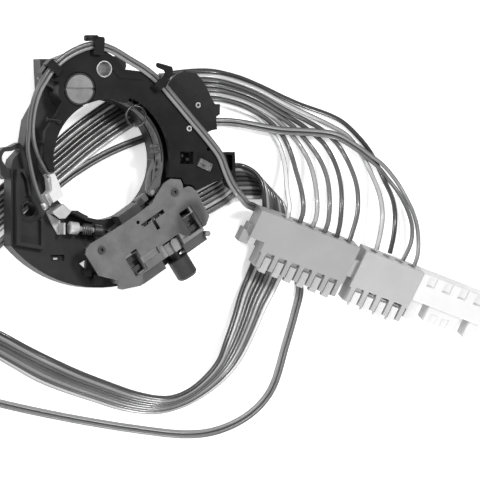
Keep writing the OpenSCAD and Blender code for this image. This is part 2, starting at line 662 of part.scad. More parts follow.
// Smooth curve through the points p, with n steps in each stretch
function smooth(p, n) = concat(
    [for (i = [0:len(p) - 2]) for (k = [0:n - 1])
        spline(p[max(i - 1, 0)], p[i], p[i + 1], p[min(i + 2, len(p) - 1)], k / n)],
    [p[len(p) - 1]]
);
function heading(p, i) = unit(p[min(i + 1, len(p) - 1)] - p[max(i - 1, 0)]);

// Round wire along a smooth curve through the points
module wire(route, d, n = 2, sides = 8) {
    p = smooth(route, n);
    rings = [for (i = [0:len(p) - 1])
        let (t = heading(p, i), s = unit(cross(t, [0, 0, 1])), u = cross(s, t))
        for (k = [0:sides - 1]) let (a = 360 * (k + 0.5) / sides) p[i] + d / 2 * (cos(a) * s + sin(a) * u)];
    tube(rings, len(p), sides);
}

// Closed skin over rings of points
module tube(rings, count, sides) {
    polyhedron(rings, concat(
        [[for (k = [0:sides - 1]) k]],
        [for (i = [0:count - 2]) for (k = [0:sides - 1])
            [i * sides + k, (i + 1) * sides + k, (i + 1) * sides + (k + 1) % sides, i * sides + (k + 1) % sides]],
        [[for (k = [sides - 1:-1:0]) (count - 1) * sides + k]]
    ), convexity = 8);
}

// Flat cable: each row is a point of its centre line and the direction of its first wire
fold_p = [89.5, -14, -4.9];
fold_n = [0.7071, 0.7071, 0];
ribbon_out = [
    [[on_switch(22.03, -40.4)[0], on_switch(22.03, -40.4)[1], 11], [-0.5446, 0.8387, 0]],
    [[on_switch(24.4, -40.4)[0], on_switch(24.4, -40.4)[1], 11], [-0.5446, 0.8387, 0]],
    [[on_switch(27, -40.4)[0], on_switch(27, -40.4)[1], 11], [-0.5446, 0.8387, 0]],
    [[50.4, -16.4, 10.8], [-0.42, 0.9, 0]],
    [[56.6, -13.6, 10], [-0.3, 0.95, 0]],
    [[62, -11.7, 7.2], [-0.2, 0.98, 0]],
    [[67.4, -11, 2.8], [-0.1, 0.99, 0]],
    [[72.4, -12, -1.8], [-0.05, 1, 0]],
    [[77, -13.4, -4.5], [0, 1, 0]]
];
ribbon_back = [
    [[89.4, -25, -2.8], [-1, 0, 0]],
    [[88.8, -32, -3.8], [-1, 0.05, 0]],
    [[87, -40, -4.7], [-0.98, 0.15, 0]],
    [[84.4, -47.4, -4.8], [-0.96, 0.28, 0.02]],
    [[81, -54.4, -4.4], [-0.94, 0.33, 0.1]],
    [[77.2, -61.2, -3.6], [-0.9, 0.36, 0.22]],
    [[72.6, -71.6, -2], [-0.83, 0.38, 0.37]],
    [[67.2, -82.4, -1], [-0.74, 0.42, 0.5]],
    [[61, -91, 0.2], [-0.54, 0.45, 0.68]],
    [[52, -98.6, 1.2], [-0.34, 0.46, 0.8]],
    [[42, -104, 2], [-0.2, 0.42, 0.87]],
    [[31, -106.4, 2.3], [-0.03, 0.43, 0.9]],
    [[17, -104.6, 2.2], [0.12, 0.45, 0.88]],
    [[2.6, -100.2, 2], [0.17, 0.48, 0.86]],
    [[-10, -96, 1.8], [0.2, 0.52, 0.82]],
    [[-22, -91.2, 1.5], [0.22, 0.56, 0.79]],
    [[-34, -85.4, 2], [0.22, 0.5, 0.84]],
    [[-45, -79.8, 1.6], [0.2, 0.5, 0.8]],
    [[-55, -76.6, -1.2], [0.15, 0.8, 0.5]],
    [[-62, -75.4, -4], [0.04, 0.99, 0.12]],
    [[-66, -75, -4.8], [0.04, 0.99, 0]],
    [[-72, -74.6, -4.8], [0.1, 0.99, 0]],
    [[-80, -72.6, -3], [0.2, 0.85, 0.35]],
    [[-87.6, -67.6, 0.6], [0.1, 0.4, 0.9]],
    [[-91.6, -59, 2.6], [0, 0.02, 1]],
    [[-90.4, -49, 1], [-0.1, 0.1, 0.99]],
    [[-83, -42, -0.6], [-0.2, 0.5, 0.8]],
    [[-73, -38.6, -3.6], [-0.35, 0.85, 0.3]],
    [[-62, -34.6, -4.8], [-0.5, 0.86, 0.02]],
    [[-51, -29, -4.9], [-0.58, 0.81, 0]],
    [[-40.4, -21.8, -4.9], [-0.63, 0.77, 0]],
    [[-27, -10.6, -4.9], [-0.63, 0.77, 0]],
    [[-13, 1, -4.9], [-0.6, 0.8, 0]],
    [[1, 11.6, -4.9], [-0.57, 0.82, 0]],
    [[15, 20.4, -4.9], [-0.48, 0.88, 0]],
    [[29, 26.8, -4.9], [-0.3, 0.95, 0]],
    [[41, 30.2, -4.9], [-0.12, 0.99, 0]],
    [[50, 31, -4.9], [0, 1, 0]],
    [[56, 31, -4.9], [0, 1, 0]]
];
// Rows of the cable's skin: centre, width direction and thickness direction
function ribbon_rows(route, n) =
    let (p = smooth([for (r = route) r[0]], n), w = smooth([for (r = route) r[1]], n))
    [for (i = [0:len(p) - 1])
        let (
            h = heading(p, i), s = unit(w[i] - (w[i] * h) * h), u = cross(h, s),
            low = floor_z + 4 * pitch_wire * abs(s[2]) + wire_d / 2 * abs(u[2]) + 0.03
        ) [[p[i][0], p[i][1], max(p[i][2], low)], s, u]];
module cord_ribbon() {
    half = 4 * pitch_wire;
    t = wire_d / 2;
    bend = wire_d / 2 + 0.03;
    // outline of the section: across, up
    section = [[half, -0.5 * t], [half, 0.5 * t], [half - 0.6, t], [-half + 0.6, t],
        [-half, 0.5 * t], [-half, -0.5 * t], [-half + 0.6, -t], [half - 0.6, -t]];
    fold = [for (a = [0:45:180])
        [fold_p + bend * (sin(a) * fold_n + [0, 0, 1 - cos(a)]), [-1, 1, 0], [0, 0, cos(a)] - sin(a) * fold_n]];
    rows = concat(ribbon_rows(ribbon_out, 2), fold, ribbon_rows(ribbon_back, 1));
    rings = [for (r = rows) for (q = section) r[0] + q[0] * r[1] + q[1] * r[2]];
    color([0.5, 0.5, 0.5]) tube(rings, len(rows), len(section));
}
pitch_wire = 2.15;

// The loose ends of the flat cable, from its end to the connectors
fan_routes = [
    [[56.1, 38.53, -4.9], [59, 38.53, -4.9], [64, 38.2, -4.9], [72, 36.2, -4.9], [86, 31, -4.9],
        [100, 25, -4.9], [112, 20.8, -4.9], [119, 17.6, -4.9], [125.4, 12.2, -4.9], [132, 5.6, -4.9],
        [136.6, -4.5, -4], [139, -13, 1.4], [140, -22, 7.6], [139, -30, 11.2], [136, -40.5, 9.4]],
    [[56.1, 36.38, -4.9], [59, 36.38, -4.9], [64, 35.8, -4.9], [74, 32, -4.9], [91, 24.6, -4.9],
        [105, 19.2, -4.9], [116, 14.4, -4.9], [123.6, 8.6, -4.9], [128.6, 1.2, -4.6], [132, -7, -1.6],
        [133.6, -15.5, 4.3], [134, -24, 9.6], [132.8, -30, 11], [129.6, -38.8, 9.6]],
    [[56.1, 34.23, -4.9], [59, 34.23, -4.9], [64, 33.5, -4.9], [74, 29.6, -4.9], [91, 22.2, -4.9],
        [104, 16.4, -4.9], [114, 9.8, -4.9], [119.6, 3, -4.2], [122.6, -5, -0.4], [123.4, -13, 5.4],
        [122, -20, 10], [120, -26, 11.6], [116.8, -35, 9.6]],
    [[56.1, 32.08, -4.9], [59, 32.08, -4.9], [64, 31.2, -4.9], [74, 27.2, -4.9], [88, 21, -4.9],
        [100.4, 15.2, -4.9], [108.6, 9, -4.9], [113.4, 2, -3.4], [116, -5, 1], [116.4, -12, 6.8],
        [115.4, -18.4, 10.8], [113.6, -24, 12], [110.8, -33, 9.8]],
    [[56.1, 29.93, -4.9], [59, 29.93, -4.9], [64, 28.9, -4.9], [73, 25.2, -4.9], [85, 19.8, -4.9],
        [95, 14.6, -4.9], [101.8, 9, -4.8], [107, 2, -2.6], [109.6, -4.6, 2], [110, -11, 7.6],
        [109.2, -16.6, 11.4], [107.6, -22, 12.2], [104.8, -30.8, 10]],
    [[56.1, 27.78, -4.9], [59, 27.78, -4.9], [64, 26.6, -4.9], [72, 23.3, -4.9], [82.6, 18.3, -4.9],
        [91, 13.6, -4.9], [96.8, 8.4, -4.6], [101, 2, -1.8], [103.4, -4, 3], [103.8, -10, 8.4],
        [103, -15, 12], [101.6, -20, 12.5], [98.8, -28.6, 10.1]],
    [[56.1, 25.63, -4.9], [59, 25.63, -4.9], [64, 24.4, -4.9], [71.4, 21.3, -4.9], [80, 16.9, -4.9],
        [87, 12.2, -4.9], [91.4, 7.4, -4.4], [94.6, 1.4, -1], [96.6, -4, 3.8], [97.2, -9, 8.8],
        [96.8, -13.6, 12.4], [95.5, -18, 12.8], [92.7, -26.6, 10.2]],
    [[56.1, 23.48, -4.9], [59, 23.48, -4.9], [64, 22.1, -4.9], [70.4, 19.2, -4.9], [78, 15.2, -4.9],
        [84, 10.8, -4.8], [87.6, 6, -3.6], [89.8, 0.4, 0.2], [91, -4.4, 4.8], [91.2, -8.6, 9.2],
        [90.6, -12.4, 12.6], [89.3, -16.4, 13.1], [86.5, -25, 10.3]]
];
module fan_wire(i) {
    color([0.5, 0.5, 0.5]) wire(fan_routes[i], wire_d);
}
module cord_wire_1() { fan_wire(0); }
module cord_wire_2() { fan_wire(1); }
module cord_wire_3() { fan_wire(2); }
module cord_wire_4() { fan_wire(3); }
module cord_wire_5() { fan_wire(4); }
module cord_wire_6() { fan_wire(5); }
module cord_wire_7() { fan_wire(6); }
module cord_wire_8() { fan_wire(7); }

// Stretch that the two loose wires share, along the middle between them
pair_low = floor_z + pair_d / 2 + 0.02;
pair_route = [
    [-34.9, 12, 15.8], [-35, 20, 17.6], [-33.6, 28, 19.6], [-30.8, 34, 20.9], [-26.6, 39.6, 21],
    [-20.5, 44.6, 21], [-12.5, 48.4, 21], [-6, 49.3, 21], [1, 47.4, 21], [9, 43, 21.1],
    [16.5, 38.8, 21], [23.4, 33.4, 21], [30, 26.4, 21], [38, 17.6, 21], [46, 8.8, 21],
    [51.6, 1.8, 21], [53.6, -4.6, 21], [55.6, -10.4, 21], [59, -15.6, 21.1], [62.8, -18.8, 17],
    [66.4, -20.6, 11.4], [70.2, -21.9, 6.6], [75, -22.4, 3.4], [80, -24, 1], [84.6, -29, -0.4],
    [89.2, -37, -1.6], [94, -44.4, -2], [98.4, -51, -3.6], [101.2, -58, -4.7], [99.4, -69.6, pair_low],
    [95.6, -83, pair_low], [88.4, -99, pair_low], [77, -110.4, pair_low], [62, -117.4, pair_low], [46, -119.2, pair_low],
    [24, -117, pair_low], [0, -113.4, pair_low], [-22, -109.4, pair_low], [-40, -105.6, pair_low], [-53, -102, pair_low],
    [-62, -95.6, -4.2], [-66, -87, -2.2], [-67.4, -79, -1.7], [-67.4, -71, -1.5], [-65.4, -63, -2.6],
    [-59, -53.4, pair_low], [-52.4, -45.6, pair_low], [-42.6, -38.4, pair_low], [-31.6, -29.8, pair_low],
    [-19.6, -19.6, pair_low], [-8.8, -11, pair_low], [4, -3.8, pair_low], [16, 2.2, pair_low], [30, 8.8, pair_low],
    [44, 13.6, pair_low], [58, 15.8, pair_low], [66, 16, -3.8], [73, 15.6, -2.5], [81, 14.4, -2.4], [92, 12.8, -2.4],
    [104, 12.6, -2.4], [113, 11.6, -2.4], [121, 7.8, -2.4], [128, 4.4, -2.4]
];
// The shared stretch, moved sideways by s
function beside(s) = [for (i = [0:len(pair_route) - 1])
    let (h = heading(pair_route, i), n = unit(cross(h, [0, 0, 1]))) pair_route[i] + s * n];
pair_gap = pair_d + 0.22;
pair_a_start = [[-23.8, -9.9, 12.2], [-25.2, -6.4, 12.2], [-28.9, -1.4, 13.2], [-32.2, 5, 14.4]];
pair_b_start = [[-27.6, -21, 14.4], [-30.3, -16.2, 14.4], [-32.6, -9.4, 13.9], [-34.4, -2, 13.8],
    [-35.8, 5, 14.5]];
pair_a_end = [[136, -1.6, -1.8], [143.6, -9.8, -0.4], [147, -19, 3], [147.6, -26.6, 7.6],
    [146, -34, 10.6], [142.2, -43, 9.2]];
pair_b_end = [[137.4, 0.6, -2.4], [147.4, -7.8, -1.6], [152, -18, 2], [153.6, -28, 7],
    [152.2, -36, 10.2], [148.2, -45.2, 9]];
module cord_pair_a() {
    color([0.45, 0.45, 0.45]) wire(concat(pair_a_start, beside(pair_gap / 2), pair_a_end), pair_d, 1);
}
module cord_pair_b() {
    color([0.75, 0.75, 0.75]) wire(concat(pair_b_start, beside(-pair_gap / 2), pair_b_end), pair_d, 1);
}

// Row of connectors: x runs along the row, y towards the wires, top face at z = 0
row_p = [72.6, -21.6, 16];
row_turn = [20, 2, -19.3];
module connector_row() {
    translate(row_p) rotate(row_turn) children();
}
module housing_block(x, count) {
    side = side_w;
    w = count * pitch + 2 * side;
    difference() {
        union() {
            translate([x, -conn_depth + 7, -conn_t]) cube([w, conn_depth - 7, conn_t]);
            translate([x + 0.6, -conn_depth, -conn_t + 0.8]) cube([w - 1.2, 7.1, conn_t - 2.4]);
            // ribs between the latch windows
            for (i = [0:count]) translate([x + side - 1 + i * pitch, -conn_depth + 0.4, -2])
                cube([2, 7, 2]);
        }
        for (i = [0:count - 1]) translate([x + side + (i + 0.5) * pitch, 0, 0]) {
            // entry of each wire, latch window and terminal slot
            translate([0, 1, -conn_t / 2]) rotate([90, 0, 0]) cylinder(r = 1.9, h = 7);
            translate([-2, -conn_depth + 1.4, -1.4]) cube([4, 6.4, 3]);
            translate([-1.7, -conn_depth - 1, -conn_t / 2 - 0.8]) cube([3.4, 6, 1.6]);
        }
    }
}
// Hook on the left of a housing that clips over its neighbour
module side_hook(x, reach) {
    translate([x - reach, -13, -conn_t + 1.5]) cube([reach + 0.2, 13, conn_t - 1.5]);
    translate([x - reach - 3.2, -17, -conn_t + 2.5]) cube([4.6, 6, conn_t - 5]);
    translate([x - reach - 1.6, -14, -conn_t + 2.5]) cube([3, 6, conn_t - 5]);
}
side_w = 1.9;
six_x = 8.9;
four_x = six_x + 6 * pitch + 2 * side_w + 3.5;
end_x = four_x + 4 * pitch + 2 * side_w + 0.03;
module connector_six() {
    color(nylon) connector_row() {
        housing_block(six_x, 6);
        side_hook(six_x, 7.6);
    }
}
module connector_four() {
    color(nylon) connector_row() difference() {
        union() {
            housing_block(four_x, 4);
            translate([four_x - 3.47, -14, -conn_t + 2]) cube([3.6, 8, conn_t - 4]);
        }
    }
}
module connector_end() {
    color(nylon) connector_row() difference() {
        union() {
            translate([end_x, -13, -conn_t]) cube([35, 13, conn_t]);
            translate([end_x, -22, -conn_t + 1]) cube([4.6, 9.2, conn_t - 2]);
            translate([end_x + 9.6, -20.4, -conn_t + 1]) cube([15.6, 7.6, conn_t - 2]);
            translate([end_x + 30, -21, -conn_t + 1]) cube([5, 8.2, conn_t - 2]);
        }
        for (i = [0:1]) translate([end_x + 12 + 5.6 * i, -21, -1.6]) cube([3.2, 5, 3]);
        for (i = [0:3]) translate([end_x + 3.4 + 8 * i, -5, -1]) cube([4, 8, 2]);
    }
}
// Latch tongue of each terminal, in its window
module lock_tabs(x, count) {
    color(nylon) connector_row() for (i = [0:count - 1])
        translate([x + side_w + (i + 0.5) * pitch, 0, 0]) {
            translate([-1.6, -conn_depth - 1.4, -1.58]) cube([3.2, 7, 0.9]);
            translate([-1.6, -conn_depth - 1.4, -3.4]) cube([3.2, 1.38, 2]);
        }
}
module terminals_six() { lock_tabs(six_x, 6); }
module terminals_four() { lock_tabs(four_x, 4); }

base_housing();
front_cover();
mounting_sleeves();
pivot_pin();
terminal_board();
board_eyelets();
switch_body();
switch_plate();
plate_rivets();
fixed_contacts();
harness_bracket();
horn_contact();
horn_terminal_block();
spring_seat();
detent_spring();
torsion_spring();
earth_clip();
signal_yoke();
yoke_bush();
lever_insert();
cancel_finger();
finger_pin();
hazard_button();
hazard_slider();
contact_carriage();
bridge_contacts();
detent_plunger();
cord_ribbon();
cord_wire_1();
cord_wire_2();
cord_wire_3();
cord_wire_4();
cord_wire_5();
cord_wire_6();
cord_wire_7();
cord_wire_8();
cord_pair_a();
cord_pair_b();
connector_six();
connector_four();
connector_end();
terminals_six();
terminals_four();
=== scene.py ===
import json
import math

import bmesh
import bpy
from mathutils import Matrix, Vector


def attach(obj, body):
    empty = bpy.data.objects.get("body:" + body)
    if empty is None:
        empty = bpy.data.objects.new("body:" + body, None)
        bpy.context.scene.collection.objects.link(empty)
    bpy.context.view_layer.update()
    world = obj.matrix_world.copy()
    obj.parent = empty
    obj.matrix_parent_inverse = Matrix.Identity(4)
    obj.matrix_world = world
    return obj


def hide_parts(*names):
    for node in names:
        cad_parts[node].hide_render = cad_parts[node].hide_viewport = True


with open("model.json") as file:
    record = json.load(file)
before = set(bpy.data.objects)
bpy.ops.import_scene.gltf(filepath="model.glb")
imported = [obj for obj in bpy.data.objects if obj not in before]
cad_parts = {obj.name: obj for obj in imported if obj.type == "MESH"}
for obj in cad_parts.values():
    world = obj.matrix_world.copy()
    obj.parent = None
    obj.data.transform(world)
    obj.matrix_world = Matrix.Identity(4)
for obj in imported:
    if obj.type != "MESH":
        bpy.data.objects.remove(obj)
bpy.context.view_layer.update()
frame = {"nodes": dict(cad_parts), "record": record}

nodes = frame["nodes"]
scene = bpy.context.scene
mm = 0.001


view = {
    "target": (69.9, -34.8, 0.0),
    "right": (0.9205, 0.0, 0.3907),
    "up": (0.0, 1.0, 0.0),
    "distance": 8000.0,
    "fieldWidth": 208.7,
    "sensor": 36,
    "clip": (0.02, 60),
}


def addCamera(values):
    right = Vector(values["right"]).normalized()
    up = Vector(values["up"])
    back = right.cross(up).normalized()
    data = bpy.data.cameras.new("camera")
    data.sensor_width = values["sensor"]
    data.lens = values["sensor"] * values["distance"] / values["fieldWidth"]
    data.clip_start, data.clip_end = values["clip"]
    camera = bpy.data.objects.new("camera", data)
    place = (Vector(values["target"]) + back * values["distance"]) * mm
    camera.matrix_world = Matrix.Translation(place) @ Matrix((right, up, back)).transposed().to_4x4()
    scene.collection.objects.link(camera)
    scene.camera = camera


lampAim = (60, -20, 0)
lamps = [
    {"name": "key", "at": (-900, 250, 420), "size": 400, "watts": 7.5},
    {"name": "top", "at": (-150, 700, 800), "size": 500, "watts": 2.5},
    {"name": "over", "at": (170, 340, 920), "size": 160, "watts": 5.0},
    {"name": "low", "at": (300, -900, 520), "size": 170, "watts": 8.0},
]


def addLamps(rows, target):
    for row in rows:
        data = bpy.data.lights.new(row["name"], "AREA")
        data.size = row["size"] * mm
        data.energy = row["watts"]
        lamp = bpy.data.objects.new(row["name"], data)
        at = Vector(row["at"]) * mm
        lamp.location = at
        lamp.rotation_euler = (Vector(target) * mm - at).to_track_quat("-Z", "Y").to_euler()
        scene.collection.objects.link(lamp)


# lift is added for the camera and in reflections only, so the shadow stays
def whiteWhereSeen(tree, shader, lift):
    lightPath = tree.nodes.new("ShaderNodeLightPath")
    glow = tree.nodes.new("ShaderNodeEmission")
    glow.inputs["Color"].default_value = (1, 1, 1, 1)
    total = tree.nodes.new("ShaderNodeAddShader")
    level = None
    for ray in ("Is Camera Ray", "Is Glossy Ray", "Is Transmission Ray"):
        share = tree.nodes.new("ShaderNodeMath")
        share.operation = "MULTIPLY_ADD"
        share.inputs[1].default_value = lift
        share.inputs[2].default_value = 0
        tree.links.new(lightPath.outputs[ray], share.inputs[0])
        if level:
            tree.links.new(level, share.inputs[2])
        level = share.outputs[0]
    tree.links.new(level, glow.inputs["Strength"])
    tree.links.new(shader.outputs[0], total.inputs[0])
    tree.links.new(glow.outputs[0], total.inputs[1])
    tree.links.new(total.outputs[0], tree.nodes["Material Output"].inputs["Surface"])


floorPaper = {"height": -6.02, "half": 3.0, "tone": 0.93, "rough": 0.9, "gloss": 0.1, "lift": 0.5}


def addFloor(values):
    mesh = bpy.data.meshes.new("floor")
    far, height = values["half"], values["height"] * mm
    corners = [(-far, -far, height), (far, -far, height), (far, far, height), (-far, far, height)]
    mesh.from_pydata(corners, [], [(0, 1, 2, 3)])
    floor = bpy.data.objects.new("floor", mesh)
    scene.collection.objects.link(floor)
    material = bpy.data.materials.new("floorPaper")
    material.use_nodes = True
    shader = material.node_tree.nodes["Principled BSDF"]
    shader.inputs["Base Color"].default_value = (*[values["tone"]] * 3, 1)
    shader.inputs["Roughness"].default_value = values["rough"]
    shader.inputs["Specular IOR Level"].default_value = values["gloss"]
    whiteWhereSeen(material.node_tree, shader, values["lift"])
    mesh.materials.append(material)


worldLevel = 0.3


def addWorld(level):
    world = bpy.data.worlds.new("world")
    world.use_nodes = True
    tree = world.node_tree
    background = tree.nodes["Background"]
    background.inputs["Color"].default_value = (1, 1, 1, 1)
    lightPath = tree.nodes.new("ShaderNodeLightPath")
    strength = tree.nodes.new("ShaderNodeMath")
    strength.operation = "MULTIPLY_ADD"
    strength.inputs[1].default_value = 1 - level
    strength.inputs[2].default_value = level
    tree.links.new(lightPath.outputs["Is Camera Ray"], strength.inputs[0])
    tree.links.new(strength.outputs[0], background.inputs["Strength"])
    scene.world = world


addCamera(view)
addLamps(lamps, lampAim)
addFloor(floorPaper)
addWorld(worldLevel)
scene.view_settings.view_transform = "Standard"
print("camera, lamps and floor are set")


finish = {
    "scatter": 0.003,
    "mottleDetail": 5, "mottleRoughness": 0.65, "mottleLow": 0.3, "mottleHigh": 0.72,
    "grainDetail": 3, "grainDepth": 0.0002,
}


def surface(name, tone, rough, metal=0.0, grain=0.0, grainScale=2500.0, mottle=0.0, mottleScale=120.0,
            translucent=0.0, gloss=0.5):
    material = bpy.data.materials.new(name)
    material.use_nodes = True
    tree = material.node_tree
    shader = tree.nodes["Principled BSDF"]
    shader.inputs["Base Color"].default_value = (tone, tone, tone, 1)
    shader.inputs["Roughness"].default_value = rough
    shader.inputs["Metallic"].default_value = metal
    shader.inputs["Specular IOR Level"].default_value = gloss
    shader.inputs["Subsurface Weight"].default_value = translucent
    shader.inputs["Subsurface Radius"].default_value = [finish["scatter"]] * 3
    shader.inputs["Subsurface Scale"].default_value = 1.0
    place = tree.nodes.new("ShaderNodeTexCoord")
    if mottle:
        noise = tree.nodes.new("ShaderNodeTexNoise")
        noise.inputs["Scale"].default_value = mottleScale
        noise.inputs["Detail"].default_value = finish["mottleDetail"]
        noise.inputs["Roughness"].default_value = finish["mottleRoughness"]
        ramp = tree.nodes.new("ShaderNodeValToRGB")
        ends = ((finish["mottleLow"], 1 - mottle), (finish["mottleHigh"], 1 + mottle))
        for element, (position, share) in zip(ramp.color_ramp.elements, ends):
            element.position = position
            element.color = (*[min(1, tone * share)] * 3, 1)
        tree.links.new(place.outputs["Object"], noise.inputs["Vector"])
        tree.links.new(noise.outputs["Fac"], ramp.inputs["Fac"])
        tree.links.new(ramp.outputs["Color"], shader.inputs["Base Color"])
    if grain:
        fine = tree.nodes.new("ShaderNodeTexNoise")
        fine.inputs["Scale"].default_value = grainScale
        fine.inputs["Detail"].default_value = finish["grainDetail"]
        bump = tree.nodes.new("ShaderNodeBump")
        bump.inputs["Strength"].default_value = grain
        bump.inputs["Distance"].default_value = finish["grainDepth"]
        tree.links.new(place.outputs["Object"], fine.inputs["Vector"])
        tree.links.new(fine.outputs["Fac"], bump.inputs["Height"])
        tree.links.new(bump.outputs["Normal"], shader.inputs["Normal"])
    return material


# the colour is multiplied by a share that goes smoothly from one end of the band to the other
def scaledColour(material, value, ends, shares):
    tree = material.node_tree
    colour = tree.nodes["Principled BSDF"].inputs["Base Color"]
    band = tree.nodes.new("ShaderNodeMapRange")
    band.interpolation_type = "SMOOTHSTEP"
    band.inputs["From Min"].default_value, band.inputs["From Max"].default_value = ends
    band.inputs["To Min"].default_value, band.inputs["To Max"].default_value = shares
    toned = tree.nodes.new("ShaderNodeVectorMath")
    toned.operation = "SCALE"
    toned.inputs[0].default_value = list(colour.default_value)[:3]
    if colour.is_linked:
        tree.links.new(colour.links[0].from_socket, toned.inputs[0])
    tree.links.new(value, band.inputs["Value"])
    tree.links.new(band.outputs["Result"], toned.inputs["Scale"])
    tree.links.new(toned.outputs[0], colour)
    return material


# the share changes with the distance from a place, measured along the axes that are given
def shaded(material, values):
    tree = material.node_tree
    place = tree.nodes.new("ShaderNodeTexCoord")
    offset = tree.nodes.new("ShaderNodeVectorMath")
    offset.operation = "SUBTRACT"
    offset.inputs[1].default_value = [c * mm for c in values["centre"]]
    along = tree.nodes.new("ShaderNodeVectorMath")
    along.operation = "MULTIPLY"
    along.inputs[1].default_value = values["axes"]
    reach = tree.nodes.new("ShaderNodeVectorMath")
    reach.operation = "LENGTH"
    tree.links.new(place.outputs["Object"], offset.inputs[0])
    tree.links.new(offset.outputs[0], along.inputs[0])
    tree.links.new(along.outputs[0], reach.inputs[0])
    return scaledColour(material, reach.outputs["Value"], [c * mm for c in values["band"]], values["shares"])


# the share changes round a wire, by the curve's own UV: painted shade on the sides and a painted highlight on
# the crest
def ringed(material, values):
    tree = material.node_tree
    place = tree.nodes.new("ShaderNodeTexCoord")
    parts = tree.nodes.new("ShaderNodeSeparateXYZ")
    turn = tree.nodes.new("ShaderNodeMath")
    turn.operation = "MULTIPLY_ADD"
    turn.inputs[1].default_value = 2 * math.pi
    turn.inputs[2].default_value = -2 * math.pi * values["crest"]
    wave = tree.nodes.new("ShaderNodeMath")
    wave.operation = "COSINE"
    tree.links.new(place.outputs["UV"], parts.inputs[0])
    tree.links.new(parts.outputs["Y"], turn.inputs[0])
    tree.links.new(turn.outputs[0], wave.inputs[0])
    return scaledColour(material, wave.outputs[0], values["band"], values["shares"])


lookValues = {
    "blackNylon": dict(tone=0.016, rough=0.4, grain=0.12, mottle=0.3, mottleScale=90, gloss=0.26),
    "blackCover": dict(tone=0.01, rough=0.36, grain=0.08, mottle=0.35, mottleScale=90, gloss=0.13),
    "greyNylon": dict(tone=0.1, rough=0.42, grain=0.1, mottle=0.2),
    "knobGrey": dict(tone=0.034, rough=0.36, grain=0.1, mottle=0.15, gloss=0.4),
    "naturalNylon": dict(tone=0.27, rough=0.4, mottle=0.06, mottleScale=60, translucent=0.15),
    "paleNylon": dict(tone=0.36, rough=0.4, mottle=0.06, mottleScale=60, translucent=0.15),
    "whiteNylon": dict(tone=0.61, rough=0.4, mottle=0.04, mottleScale=80, translucent=0.15),
    "ivoryNylon": dict(tone=0.2, rough=0.42, mottle=0.15, mottleScale=140),
    "darkNylon": dict(tone=0.035, rough=0.42, grain=0.1, mottle=0.3, mottleScale=140, gloss=0.35),
    "laminate": dict(tone=0.012, rough=0.5, grain=0.2, mottle=0.35, mottleScale=260, gloss=0.22),
    "plateSteel": dict(tone=0.125, rough=0.52, metal=0.4, grain=0.1, grainScale=900, mottle=0.2,
                       mottleScale=160),
    "darkSteel": dict(tone=0.07, rough=0.4, metal=0.7, grain=0.1, mottle=0.3),
    "steel": dict(tone=0.42, rough=0.36, metal=0.85, grain=0.06, mottle=0.2, mottleScale=200),
    "brass": dict(tone=0.4, rough=0.38, metal=0.85, grain=0.05, mottle=0.2, mottleScale=200),
    "springSteel": dict(tone=0.07, rough=0.34, metal=0.8, mottle=0.3, mottleScale=300),
    "sliderNylon": dict(tone=0.17, rough=0.42, mottle=0.2, mottleScale=140),
    "pivotSteel": dict(tone=0.21, rough=0.4, metal=0.7, grain=0.1, mottle=0.25, mottleScale=160),
    "brightSteel": dict(tone=0.46, rough=0.4, metal=0.5, grain=0.05, mottle=0.12, mottleScale=200),
    "blockNylon": dict(tone=0.56, rough=0.4, mottle=0.05, mottleScale=80, translucent=0.15),
    "clipSteel": dict(tone=0.15, rough=0.4, metal=0.7, grain=0.1, mottle=0.4, mottleScale=400),
    "sleeveSteel": dict(tone=0.42, rough=0.36, metal=0.85, grain=0.06, mottle=0.2, mottleScale=200),
    "eyeletSteel": dict(tone=0.5, rough=0.4, metal=0.6),
    "plungerNylon": dict(tone=0.42, rough=0.4, mottle=0.1, mottleScale=140),
}
looks = {name: surface(name, **values) for name, values in lookValues.items()}
shades = [
    # painted shade in the gap round the pivot head: the pin is darker beyond the head's rim
    {"look": "pivotSteel", "centre": (-13.7, 30.4, 0), "axes": (1, 1, 0),
     "band": (6.1, 6.3), "shares": (1, 0.12)},
    # the plate is darker towards this point
    {"look": "plateSteel", "centre": (38.6, -26.4, 0), "axes": (1, 0.8, 0),
     "band": (5, 9), "shares": (0.4, 1)},
    # the plate is darker near a second point
    {"look": "plateSteel", "centre": (31, -32, 0), "axes": (1, 1, 0),
     "band": (1, 6), "shares": (0.7, 1)},
    # painted shade down in the switch body's windows: darker below its top
    {"look": "ivoryNylon", "centre": (0, 0, 0), "axes": (0, 0, 1),
     "band": (13.5, 16.4), "shares": (0.35, 1)},
    # painted shade in the hole of each eyelet: a dark middle on both eyelets
    {"look": "eyeletSteel", "centre": (45.1, 23.7, 0), "axes": (1, 1, 0),
     "band": (0.62, 0.8), "shares": (0.08, 1)},
    {"look": "eyeletSteel", "centre": (37.4, 13.5, 0), "axes": (1, 1, 0),
     "band": (0.62, 0.8), "shares": (0.08, 1)},
    # painted shade: the sleeves away from the top one are made dark
    {"look": "sleeveSteel", "centre": (-2.6, 39.3, 0), "axes": (1, 1, 0),
     "band": (20, 25), "shares": (1, 0.1)},
    # painted light on the slider's finger and painted shade on the rest of it
    {"look": "sliderNylon", "centre": (30.1, -37.4, 0), "axes": (1, 1, 0),
     "band": (3.6, 5.2), "shares": (1.2, 0.3)},
    # painted shade down in the window: the slider is darker below its top
    {"look": "sliderNylon", "centre": (0, 0, 0), "axes": (0, 0, 1),
     "band": (16.2, 16.9), "shares": (0.2, 1)},
]
for values in shades:
    shaded(looks[values["look"]], values)

